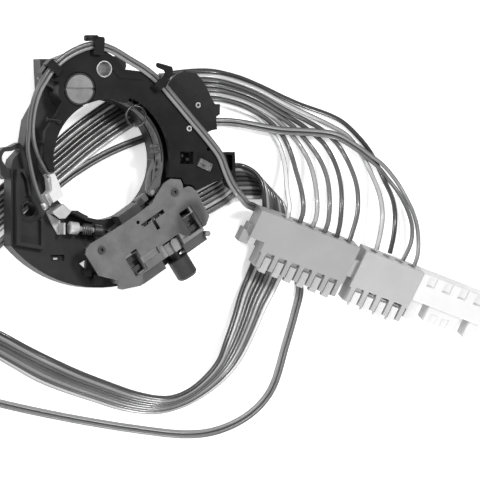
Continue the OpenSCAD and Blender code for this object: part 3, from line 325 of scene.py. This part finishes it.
nodeLooks = {
    "base_housing": "blackNylon", "front_cover": "blackCover", "mounting_sleeves": "sleeveSteel",
    "pivot_pin": "pivotSteel", "terminal_board": "laminate", "board_eyelets": "eyeletSteel",
    "switch_body": "ivoryNylon", "switch_plate": "plateSteel", "plate_rivets": "darkSteel",
    "fixed_contacts": "darkSteel", "harness_bracket": "blackCover", "horn_contact": "brightSteel",
    "horn_terminal_block": "blockNylon", "spring_seat": "darkSteel", "detent_spring": "darkSteel",
    "torsion_spring": "springSteel", "earth_clip": "clipSteel", "signal_yoke": "greyNylon",
    "yoke_bush": "brass", "lever_insert": "brass", "cancel_finger": "greyNylon", "finger_pin": "steel",
    "hazard_button": "knobGrey", "hazard_slider": "sliderNylon", "contact_carriage": "darkNylon",
    "bridge_contacts": "brass", "detent_plunger": "plungerNylon", "connector_six": "naturalNylon",
    "connector_four": "paleNylon", "connector_end": "whiteNylon", "terminals_six": "paleNylon",
    "terminals_four": "whiteNylon",
}
for name, look in nodeLooks.items():
    mesh = nodes[name].data
    mesh.materials.clear()
    mesh.materials.append(looks[look])


def bodyOf(node):
    return next(b for b, members in frame["record"]["behaviour"]["bodies"].items() if node in members)


print("materials are set")


edgeFinish = {"merge": 0.01, "flatAngle": 1.5, "sharpAngle": 38, "weight": 80}
# width of the bevel and its segments
softEdges = {
    "base_housing": (0.28, 2), "front_cover": (0.3, 2), "switch_body": (0.2, 2), "switch_plate": (0.14, 2),
    "hazard_button": (0.35, 3), "hazard_slider": (0.2, 2), "connector_six": (0.3, 2),
    "connector_four": (0.3, 2), "connector_end": (0.3, 2), "harness_bracket": (0.25, 2),
    "horn_terminal_block": (0.3, 2), "contact_carriage": (0.2, 2), "signal_yoke": (0.2, 2),
    "cancel_finger": (0.2, 2), "terminal_board": (0.12, 1), "horn_contact": (0.1, 1),
    "earth_clip": (0.1, 1), "pivot_pin": (0.2, 2), "detent_plunger": (0.35, 3),
    "terminals_six": (0.08, 1), "terminals_four": (0.08, 1), "mounting_sleeves": (0.1, 1),
    "spring_seat": (0.2, 1),
}


def softened(node, width, segments):
    mesh = nodes[node].data.copy()
    mesh.name = node + "_finish"
    work = bmesh.new()
    work.from_mesh(mesh)
    bmesh.ops.remove_doubles(work, verts=work.verts, dist=edgeFinish["merge"] * mm)
    bmesh.ops.dissolve_limit(work, angle_limit=math.radians(edgeFinish["flatAngle"]),
                             verts=work.verts, edges=work.edges)
    work.to_mesh(mesh)
    work.free()
    piece = bpy.data.objects.new(node + "_finish", mesh)
    scene.collection.objects.link(piece)
    bevel = piece.modifiers.new("bevel", "BEVEL")
    bevel.width = width * mm
    bevel.segments = segments
    bevel.limit_method = "ANGLE"
    bevel.angle_limit = math.radians(edgeFinish["sharpAngle"])
    bevel.use_clamp_overlap = True
    bevel.harden_normals = False
    for face in mesh.polygons:
        face.use_smooth = True
    mesh.materials.clear()
    mesh.materials.append(looks[nodeLooks[node]])
    smoothing = piece.modifiers.new("normals", "WEIGHTED_NORMAL")
    smoothing.keep_sharp = False
    smoothing.weight = edgeFinish["weight"]
    bpy.context.view_layer.update()
    graph = bpy.context.evaluated_depsgraph_get()
    done = bpy.data.meshes.new_from_object(piece.evaluated_get(graph))
    piece.modifiers.clear()
    piece.data = done
    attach(piece, bodyOf(node))
    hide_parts(node)
    return piece


finished = {node: softened(node, *values) for node, values in softEdges.items()}
print("edges are softened on", len(finished), "pieces")


def spline(a, b, c, d, t):
    return 0.5 * (2 * b + (c - a) * t + (2 * a - 5 * b + 4 * c - d) * t * t
                  + (3 * b - a - 3 * c + d) * t * t * t)


def smooth(points, steps):
    last = len(points) - 1
    line = [spline(points[max(i - 1, 0)], points[i], points[i + 1], points[min(i + 2, last)], k / steps)
            for i in range(last) for k in range(steps)]
    return [*line, points[last]]


def heading(line, i):
    return (line[min(i + 1, len(line) - 1)] - line[max(i - 1, 0)]).normalized()


# a place given in the switch body's own axes, which are turned on the housing
switchTurn = math.radians(33)


def onSwitch(x, y):
    return (x * math.cos(switchTurn) - y * math.sin(switchTurn),
            x * math.sin(switchTurn) + y * math.cos(switchTurn))


ground = -6
restGap = 0.01
mouthAcross = (-0.5446, 0.8387, 0)
# out and back are rows of the cable: the middle and the way across it
# turnAt and turnHeight give the first wire's value and the step to the next, turnRadius the first and last
cable = {
    "wires": 8,
    "wireWidth": 2.1,
    "pitch": 2.03,
    "clearance": 0.03,
    "turnAt": (79.4, 1.79),
    "turnRadius": (9.4, 4.4),
    "turnHeight": (3.7, -0.97),
    "turnStep": 10,
    "bridge": 6,
    "steps": 4,
    "turnEase": {"before": 4, "after": 6, "rounds": 8},
    "fanEase": {"before": 8, "after": 4, "rounds": 3},
    "out": [
        ((*onSwitch(22.03, -40.4), 11), mouthAcross),
        ((*onSwitch(24.4, -40.4), 11), mouthAcross),
        ((*onSwitch(27, -40.4), 11), mouthAcross),
        ((50.4, -16.2, 10.8), (-0.42, 0.9, 0)),
        ((56.6, -12.9, 10), (-0.3, 0.95, 0)),
        ((61.4, -10.6, 6.4), (-0.2, 0.98, 0)),
        ((65.6, -9.6, 1.4), (-0.08, 1, 0)),
        ((69.8, -9.1, -2.9), (0, 1, 0)),
        ((74.4, -9, -4.7), (0, 1, 0)),
        ((79, -9, -4.95), (0, 1, 0)),
        ((84, -9, -4.95), (0, 1, 0)),
        ((90, -9, -4.95), (0, 1, 0)),
    ],
    "back": [
        ((86.6, -23, 0.3), (-0.87, 0, 0.48)),
        ((87, -29, -1.1), (-0.94, 0.03, 0.26)),
        ((86.6, -36, -2.4), (-0.98, 0.1, 0.06)),
        ((85.6, -42, -3.1), (-0.98, 0.17, 0)),
        ((84.2, -47.6, -4.2), (-0.96, 0.28, 0.02)),
        ((81, -54.4, -4.4), (-0.94, 0.33, 0.1)),
        ((77.2, -61.2, -3.6), (-0.9, 0.36, 0.22)),
        ((72.6, -71.6, -2), (-0.83, 0.38, 0.37)),
        ((67.2, -82.4, -1), (-0.74, 0.42, 0.5)),
        ((61, -91, 0.2), (-0.54, 0.45, 0.68)),
        ((52, -98.6, 1.2), (-0.34, 0.46, 0.8)),
        ((42, -104, 2), (-0.2, 0.42, 0.87)),
        ((31, -106.4, 2.3), (-0.03, 0.43, 0.9)),
        ((17, -104.6, 2.2), (0.12, 0.45, 0.88)),
        ((2.6, -100.2, 2), (0.17, 0.48, 0.86)),
        ((-10, -96, 1.8), (0.2, 0.52, 0.82)),
        ((-22, -91.2, 1.5), (0.22, 0.56, 0.79)),
        ((-34, -85.4, 2), (0.22, 0.5, 0.84)),
        ((-45, -79.8, 1.6), (0.2, 0.5, 0.8)),
        ((-55, -76.6, -1.2), (0.15, 0.8, 0.5)),
        ((-62, -75.4, -4), (0.04, 0.99, 0.12)),
        ((-66, -75, -4.8), (0.04, 0.99, 0)),
        ((-72, -74.6, -4.8), (0.1, 0.99, 0)),
        ((-80, -72.6, -3), (0.2, 0.85, 0.35)),
        ((-87.6, -67.6, 0.6), (0.1, 0.4, 0.9)),
        ((-91.6, -59, 2.6), (0, 0.02, 1)),
        ((-90.4, -49, 1), (-0.1, 0.1, 0.99)),
        ((-83, -42, -0.6), (-0.2, 0.5, 0.8)),
        ((-73, -38.6, -3.6), (-0.35, 0.85, 0.3)),
        ((-62, -34.6, -4.8), (-0.5, 0.86, 0.02)),
        ((-51, -28.4, -4.95), (-0.58, 0.81, 0)),
        ((-40.4, -20.8, -4.95), (-0.61, 0.79, 0)),
        ((-27, -10.7, -4.95), (-0.61, 0.79, 0)),
        ((-13, 0, -4.95), (-0.61, 0.79, 0)),
        ((-3.6, 7.4, -4.95), (-0.6, 0.8, 0)),
        ((5.9, 14.1, -4.95), (-0.56, 0.83, 0)),
        ((16.4, 20.6, -4.95), (-0.5, 0.87, 0)),
        ((28, 26.4, -4.95), (-0.34, 0.94, 0)),
        ((40, 30.4, -4.95), (-0.14, 0.99, 0)),
        ((50, 31.7, -4.95), (0, 1, 0)),
        ((56, 31.8, -4.95), (0, 1, 0)),
    ],
}
fanRoutes = [
    [(60, 38.6, -4.95), (64.9, 37.7, -4.95), (72, 35.9, -4.95), (81.5, 32.3, -4.95), (90.9, 28.1, -4.95),
     (100.4, 24.2, -4.95), (109.8, 21.3, -4.95), (119.2, 17.7, -4.95), (125.4, 12.8, -4.95),
     (131.5, 6.6, -4.95), (135.4, 1, -4.95), (137.7, -4, -4.2), (139.4, -10, -1.2), (140.1, -15.2, 3.6),
     (139.6, -21, 8.4), (138.7, -27, 10.8), (138, -33, 11), (136.8, -40.6, 9.4)],
    [(60, 36.6, -4.6), (64.9, 35.7, -4), (72, 33.7, -3.6), (81.5, 30.3, -4.1), (90.9, 25.65, -4.8),
     (100.4, 21.4, -4.95), (109.8, 17.4, -4.95), (119.2, 13, -4.95), (124, 9.8, -4.95), (128.6, 4, -4.95),
     (131.2, -0.6, -4.3), (132.9, -6, -1.6), (133.4, -12.2, 3.8), (133.2, -18, 8.4), (132.6, -24, 11.2),
     (132, -30, 11.2), (130.4, -39, 9.6)],
    [(60, 34.6, -4.95), (64.9, 33.65, -4.95), (72, 31.7, -4.95), (81.5, 28.1, -4.95), (90.9, 23.1, -4.95),
     (100.4, 18.6, -4.95), (109.8, 14, -4.95), (116.4, 8.8, -4.9), (119.6, 4.6, -4), (121.4, 0, -1.6),
     (122.1, -6, 3.4), (121.8, -12, 8.4), (121, -18, 11.2), (120.3, -24, 11.8), (119, -30, 10.6),
     (117.6, -35.2, 9.6)],
    [(60, 32.7, -4.6), (64.9, 31.7, -4), (72, 29.85, -3.6), (81.5, 26.15, -4.1), (90.9, 20.85, -4.8),
     (100.4, 15.9, -4.95), (109.6, 9.2, -4.9), (112.7, 5.4, -4.1), (114.5, 1, -1.8), (115, -4.4, 2.6),
     (114.3, -10, 7.4), (113.3, -15.6, 11), (112.6, -21.6, 12.2), (112.4, -27, 11.6), (111.6, -33.4, 9.8)],
    [(60, 30.7, -4.95), (64.9, 29.8, -4.95), (72, 28.0, -4.95), (81.5, 24.2, -4.95), (90.9, 18.7, -4.95),
     (97, 14.9, -4.95), (102.3, 9.6, -4.9), (105.4, 5.6, -4.1), (107.9, 1.4, -2.2), (109, -3.6, 1.6),
     (108.6, -9, 6.6), (107.7, -14, 10.4), (107, -20, 12.4), (106.8, -26, 11.8), (105.8, -31.2, 10)],
    [(60, 28.8, -4.6), (64.9, 27.9, -4), (72, 26.2, -3.6), (81.5, 22.3, -4.1), (90.2, 16.9, -4.85),
     (97.1, 10.2, -4.9), (100.2, 6, -4.2), (102.2, 1.8, -2.2), (102.8, -3, 1.8), (102.2, -8.6, 6.8),
     (101.5, -13.6, 10.6), (101.1, -19, 12.5), (101, -24.4, 12), (99.9, -29, 10.1)],
    [(60, 26.8, -4.95), (64.9, 26, -4.95), (72, 24.4, -4.95), (81.5, 19.9, -4.95), (87.4, 15.6, -4.95),
     (92.4, 10.4, -4.9), (94.6, 5.6, -4.1), (95.6, 1, -2.2), (95.5, -3.6, 1.2), (95.1, -8.6, 5.8),
     (94.8, -13.4, 9.8), (94.6, -18, 12.2), (94.6, -22.6, 12.2), (93.8, -27.2, 10.2)],
    [(60, 24.9, -4.6), (64.9, 24.1, -4.2), (72, 22.1, -4.1), (77, 19.9, -4.5), (81.8, 17.2, -4.9),
     (87.8, 10.9, -4.9), (90.3, 6.2, -4.1), (91.1, 2, -2.4), (90.8, -2.6, 1), (89.5, -7, 5),
     (88.1, -11.4, 9), (87.5, -15.6, 11.8), (88, -20, 12.6), (88, -25.4, 10.3)],
]
# the two loose wires run side by side, and turn over each other between the two points named by swap
pair = {
    "width": 1.8,
    "gap": 1.8,
    "shared": [
        (-34.9, 12, 15.8), (-35, 20, 17.6), (-33.6, 28, 19.6), (-30.8, 34, 20.9), (-26.6, 39.6, 21),
        (-20.5, 44.6, 21), (-12.5, 48.4, 21), (-6, 49.3, 21), (1, 47.4, 21), (9, 43, 21.1),
        (16.5, 38.8, 21), (23.4, 33.4, 21), (30, 26.4, 21), (38, 17.6, 21), (46, 8.8, 21),
        (51.6, 1.8, 21), (54.3, -4.6, 21), (56.9, -10, 21), (60.2, -14.2, 20.4), (64.4, -17, 16),
        (68, -18.6, 10.6), (71.6, -19.6, 5.8), (75.8, -20.6, 2), (80, -23, -0.6), (84.2, -28, -3.2),
        (88.6, -35, -5), (93.6, -41.8, -5.08), (97.8, -48.2, -5.08), (100.3, -56.4, -5.08),
        (97.6, -67.8, -5.08), (93.6, -80.6, -5.08), (87.4, -99, -5.08), (77, -110.4, -5.08),
        (62, -117.4, -5.08), (46, -119.2, -5.08),
        (24, -117, -5.08), (0, -113.4, -5.08), (-22, -109.4, -5.08), (-40, -105.6, -5.08), (-53, -102, -5.08),
        (-62, -95.6, -4.2), (-66, -87, -2.2), (-67.4, -79, -1.7), (-67.4, -71, -1.5), (-65.4, -63, -2.6),
        (-59, -53.4, -5.08), (-51.4, -45, -5.08), (-41.4, -36.8, -5.08), (-31, -27.4, -5.08),
        (-21, -17.6, -5.08), (-11.6, -9.6, -5.08), (-3, -3.9, -5.08), (5.9, 1.1, -5.08), (15, 5.2, -5.08),
        (24.8, 8.7, -5.08), (35, 12, -5.08), (44, 14.3, -5.08), (52, 15.8, -5.08), (59, 16.5, -5.08),
        (66, 16.5, -4.1), (72.4, 15.8, -2.8), (81, 14.3, -2.4), (90, 12.9, -2.4), (99.5, 12.4, -2.4),
        (107, 12, -2.4), (113.4, 11.3, -2.4), (118.6, 9.8, -2.4), (123.4, 7.2, -2.4), (127.8, 4.5, -2.4),
        (132.3, 1.3, -2.4),
    ],
    "startA": [(-23.8, -9.9, 12.2), (-25.2, -6.4, 12.2), (-28.9, -1.4, 13.2), (-32.2, 5, 14.4)],
    "startB": [(-27.6, -21, 14.4), (-30.3, -16.2, 14.4), (-32.6, -9.4, 13.9), (-34.4, -2, 13.8),
               (-35.8, 5, 14.5)],
    "endA": [(138.2, -1.6, -2.4), (142.4, -6, -2.2), (146, -11, -1.4), (149, -17.4, 0.6), (150.6, -23, 3.4),
             (151.1, -29, 6.4), (150.6, -35, 9), (149.9, -41, 9.9), (148.6, -46, 9)],
    "endB": [(137, -3.6, -2.4), (141, -8.4, -2), (144.4, -12.8, -0.8), (146.7, -17.6, 1.2), (148.1, -23, 4),
             (148.3, -28.6, 7.2), (147, -34.6, 9.8), (145.1, -39.4, 10.2), (143, -43.8, 9.2)],
    "swap": (40, 45),
    "steps": 5,
    "tones": (("A", 1, 0.17), ("B", -1, 0.11)),
    "insulation": {"rough": 0.3, "mottle": 0.08, "gloss": 0.6},
}


def cableRows(route, steps):
    centres = smooth([Vector(r[0]) for r in route], steps)
    widths = smooth([Vector(r[1]) for r in route], steps)
    rows = []
    for i, centre in enumerate(centres):
        ahead = heading(centres, i)
        side = (widths[i] - widths[i].dot(ahead) * ahead).normalized()
        over = ahead.cross(side)
        reach = (cable["wires"] * cable["pitch"] * abs(side.z) + cable["wireWidth"] * abs(over.z)) / 2
        low = ground + reach + cable["clearance"]
        rows.append((Vector((centre.x, centre.y, max(centre.z, low))), side))
    return rows


# the points between first and last are drawn towards their neighbours, some rounds over
def eased(line, first, last, rounds):
    done = list(line)
    for _ in range(rounds):
        done = [p if i <= first or i >= last else (done[i - 1] + 2 * p + done[i + 1]) / 4
                for i, p in enumerate(done)]
    return done


# each wire turns down by itself where the cable folds over, the first wire highest
def foldedLine(number, outRows, backRows):
    final = cable["wires"] - 1
    across = (final / 2 - number) * cable["pitch"]
    widest, tightest = cable["turnRadius"]
    radius = widest + number / final * (tightest - widest)
    begin = cable["turnAt"][0] + number * cable["turnAt"][1] - radius
    top = cable["turnHeight"][0] + number * cable["turnHeight"][1]
    lead = [centre + across * side for centre, side in outRows]
    lead = [place for place in lead if place.x < begin]
    last = lead[-1]
    corner = []
    for degrees in range(0, 91, cable["turnStep"]):
        a = math.radians(degrees)
        share = degrees / 90
        rise = share * share * (3 - 2 * share)
        corner.append(Vector((begin + radius * math.sin(a), last.y - radius * (1 - math.cos(a)),
                              last.z + (top - last.z) * rise)))
    back = [centre + across * side for centre, side in backRows]
    between = [corner[-1].lerp(back[0], k / cable["bridge"]) for k in range(1, cable["bridge"])]
    turned = len(lead) + len(corner) + len(between)
    ease = cable["turnEase"]
    return eased(lead + corner + between + back, len(lead) - ease["before"], turned + ease["after"],
                 ease["rounds"])


def offFloor(line, width):
    return [Vector((p.x, p.y, max(p.z, ground + restGap + width / 2))) for p in line]


def wireCurve(name, line, width, material):
    data = bpy.data.curves.new(name, "CURVE")
    data.dimensions = "3D"
    data.bevel_depth = width / 2 * mm
    data.bevel_resolution = 4
    data.twist_mode = "Z_UP"
    data.use_fill_caps = True
    path = data.splines.new("POLY")
    path.points.add(len(line) - 1)
    for point, place in zip(path.points, line):
        point.co = (*(place * mm), 1)
    path.use_smooth = True
    data.materials.append(material)
    wire = bpy.data.objects.new(name, data)
    scene.collection.objects.link(wire)
    return wire


# painted shade on the sides of each wire and a painted highlight on its crest
wireShadeAndHighlight = {"crest": 0.25, "band": (0.35, 0.9), "shares": (0.42, 1.25)}
# tone of each wire, from the one that is outermost at the fold
wireTones = [0.03, 0.35, 0.09, 0.06, 0.12, 0.29, 0.09, 0.64]
insulation = {"rough": 0.24, "mottle": 0.08, "gloss": 0.8}
outRows, backRows = (cableRows(cable[part], cable["steps"]) for part in ("out", "back"))
for number, tone in enumerate(wireTones):
    line = foldedLine(number, outRows, backRows)
    joint, ease = len(line), cable["fanEase"]
    line += smooth([line[-1], *[Vector(p) for p in fanRoutes[number]]], cable["steps"])[1:]
    line = eased(line, joint - ease["before"], len(line) - ease["after"], ease["rounds"])
    line = offFloor(line, cable["wireWidth"])
    wire = wireCurve(f"wire_{number + 1}", line, cable["wireWidth"],
                     ringed(surface(f"insulation{number + 1}", tone, **insulation), wireShadeAndHighlight))
    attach(wire, "housing")
    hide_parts(f"cord_wire_{number + 1}", *(["cord_ribbon"] if number == 0 else []))

shared = [Vector(p) for p in pair["shared"]]
first, last = pair["swap"]
up = Vector((0, 0, 1))
for letter, sign, tone in pair["tones"]:
    beside = []
    for i, p in enumerate(shared):
        over = math.pi * min(1, max(0, (i - first) / (last - first)))
        side = heading(shared, i).cross(up).normalized()
        beside.append(p + sign * pair["gap"] / 2 * (math.cos(over) * side + math.sin(over) * up))
    start, end = ([Vector(p) for p in pair[part + letter]] for part in ("start", "end"))
    line = offFloor(smooth(start + beside + end, pair["steps"]), pair["width"])
    node = f"cord_pair_{letter.lower()}"
    wire = wireCurve(f"loose_wire_{letter.lower()}", line, pair["width"],
                     ringed(surface(f"looseInsulation{letter}", tone, **pair["insulation"]), wireShadeAndHighlight))
    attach(wire, "housing")
    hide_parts(node)


def coilCurve(name, start, ahead, values, material):
    side = ahead.orthogonal().normalized()
    over = ahead.cross(side)
    steps = values["steps"]
    line = []
    for k in range(int(values["turns"] * steps) + 1):
        a = 2 * math.pi * k / steps
        line.append(start + ahead * values["pitch"] * k / steps
                    + values["radius"] * (math.cos(a) * side + math.sin(a) * over))
    return wireCurve(name, line, values["wire"], material)


def legCoil(name, values, material):
    first, last = math.radians(values["first"]), math.radians(values["last"])
    steps, legSteps = values["steps"], values["legSteps"]
    ring = []
    for k in range(steps + 1):
        a = first + (last - first) * k / steps
        ring.append(Vector((values["at"][0] + values["radius"] * math.cos(a),
                            values["at"][1] + values["radius"] * math.sin(a),
                            values["top"] + (values["low"] - values["top"]) * k / steps)))
    lead = Vector((*values["lead"], 0))
    tail = Vector((*values["tail"], 0))
    before = [ring[0] + lead * (legSteps - k) / legSteps for k in range(legSteps)]
    after = [ring[-1] + tail * k / legSteps for k in range(1, legSteps + 1)]
    return wireCurve(name, before + ring + after, values["wire"], material)


def meshPiece(name, mesh, work, material):
    work.to_mesh(mesh)
    work.free()
    mesh.materials.append(material)
    piece = bpy.data.objects.new(name, mesh)
    scene.collection.objects.link(piece)
    return piece


sleeveSides = 28
squareness = 3


# each row is a middle, two directions across and the half width along each
def taperedSleeve(name, rows, material):
    mesh = bpy.data.meshes.new(name)
    work = bmesh.new()
    rings = []
    for centre, side, over, halfWidth, halfHeight in rows:
        ring = []
        for k in range(sleeveSides):
            a = 2 * math.pi * k / sleeveSides
            c, s = math.cos(a), math.sin(a)
            reach = (abs(c) ** squareness + abs(s) ** squareness) ** (-1 / squareness)
            ring.append(work.verts.new((Vector(centre) + Vector(side) * halfWidth * reach * c
                                        + Vector(over) * halfHeight * reach * s) * mm))
        rings.append(ring)
    for near, far in zip(rings, rings[1:]):
        for k in range(sleeveSides):
            after = (k + 1) % sleeveSides
            work.faces.new((near[k], near[after], far[after], far[k]))
    work.faces.new(list(reversed(rings[0])))
    work.faces.new(rings[-1])
    bmesh.ops.recalc_face_normals(work, faces=work.faces)
    for face in work.faces:
        face.smooth = len(face.verts) == 4
    return meshPiece(name, mesh, work, material)


plunger = {
    "at": (-15.6, -29.4, 12.4), "turn": math.radians(-6),
    "begin": 6.1, "radius": 2.2, "pitch": 0.9, "turns": 5, "wire": 0.7, "steps": 20,
}
ahead = Vector((math.cos(plunger["turn"]), math.sin(plunger["turn"]), 0))
spring = coilCurve("plunger_spring", Vector(plunger["at"]) + ahead * plunger["begin"], ahead, plunger,
                   looks["clipSteel"])
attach(spring, "housing")
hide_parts("detent_spring")

torsion = {
    "at": (14, 18.9), "radius": 4.5, "top": 16.92, "low": 15.97, "wire": 0.94,
    "first": 110, "last": -610, "lead": (7.5, 2.7), "tail": (0, 6), "steps": 70, "legSteps": 4,
}
spring = legCoil("wound_spring", torsion, looks["springSteel"])
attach(spring, "housing")
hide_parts("torsion_spring")
print("springs are wound")


# widths: how far along, half width and half height
relief = {
    "mouth": (*onSwitch(22.03, -40.4), 11), "outward": (0.8387, 0.5446, 0),
    "widths": [(-1.2, 8.7, 1.75), (0, 8.7, 1.75), (0.6, 8.6, 1.6), (3.4, 8.35, 1.3), (3.8, 8.2, 1.12)],
}
mouth, outward = Vector(relief["mouth"]), Vector(relief["outward"])
rows = [(mouth + outward * d, mouthAcross, up, w, h) for d, w, h in relief["widths"]]
sleeve = taperedSleeve("cable_relief", rows, looks["blackNylon"])
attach(sleeve, "housing")

crimps = {
    "blade_crimp": {"line": "startA", "look": "whiteNylon",
                    "widths": [(-0.5, 1.3, 1.3), (0, 1.35, 1.35), (1.8, 1.25, 1.25), (2.4, 1, 1)]},
    "horn_crimp": {"line": "startB", "look": "steel",
                   "widths": [(-0.5, 1.3, 1.2), (0, 1.35, 1.25), (2, 1.25, 1.15), (2.6, 1, 1)]},
}
for name, values in crimps.items():
    start, after = (Vector(p) for p in pair[values["line"]][:2])
    ahead = (after - start).normalized()
    side = ahead.cross(up).normalized()
    rows = [(start + ahead * d, side, side.cross(ahead), w, h) for d, w, h in values["widths"]]
    crimp = taperedSleeve(name, rows, looks[values["look"]])
    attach(crimp, "housing")
print("reliefs and crimps are on")


hookArm = {
    "outline": [(20.7, 41.1), (21.4, 42), (28.3, 40.2), (28.8, 38), (25.2, 31.3), (22.4, 33), (25.2, 37.4),
                (24.6, 38.6), (21.2, 40)],
    "low": 22.1, "high": 23.2, "edge": 0.18,
}


def standingPlate(name, values, material):
    mesh = bpy.data.meshes.new(name)
    work = bmesh.new()
    low = values["low"] * mm
    face = work.faces.new([work.verts.new((x * mm, y * mm, low)) for x, y in values["outline"]])
    lifted = bmesh.ops.extrude_face_region(work, geom=[face])
    tops = [v for v in lifted["geom"] if isinstance(v, bmesh.types.BMVert)]
    bmesh.ops.translate(work, vec=(0, 0, (values["high"] - values["low"]) * mm), verts=tops)
    bmesh.ops.bevel(work, geom=work.edges[:], offset=values["edge"] * mm, segments=2, affect="EDGES")
    bmesh.ops.recalc_face_normals(work, faces=work.faces)
    return meshPiece(name, mesh, work, material)


arm = standingPlate("hook_arm", hookArm, looks["blackCover"])
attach(arm, "housing")

# widths: share of the way and share of the radius
hookRoll = {
    "ends": ((-12.6, 52.4, 22.5), (-6.4, 52.5, 22.5)), "radius": 1.35,
    "widths": ((0, 0.75), (0.06, 1), (0.94, 1), (1, 0.75)),
}
left, right = (Vector(p) for p in hookRoll["ends"])
north = Vector((0, 1, 0))
above = (right - left).normalized().cross(north)
rows = [(left.lerp(right, k), north, above, hookRoll["radius"] * w, hookRoll["radius"] * w)
        for k, w in hookRoll["widths"]]
roll = taperedSleeve("hook_roll", rows, looks["blackCover"])
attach(roll, "housing")
print("hooks are finished")
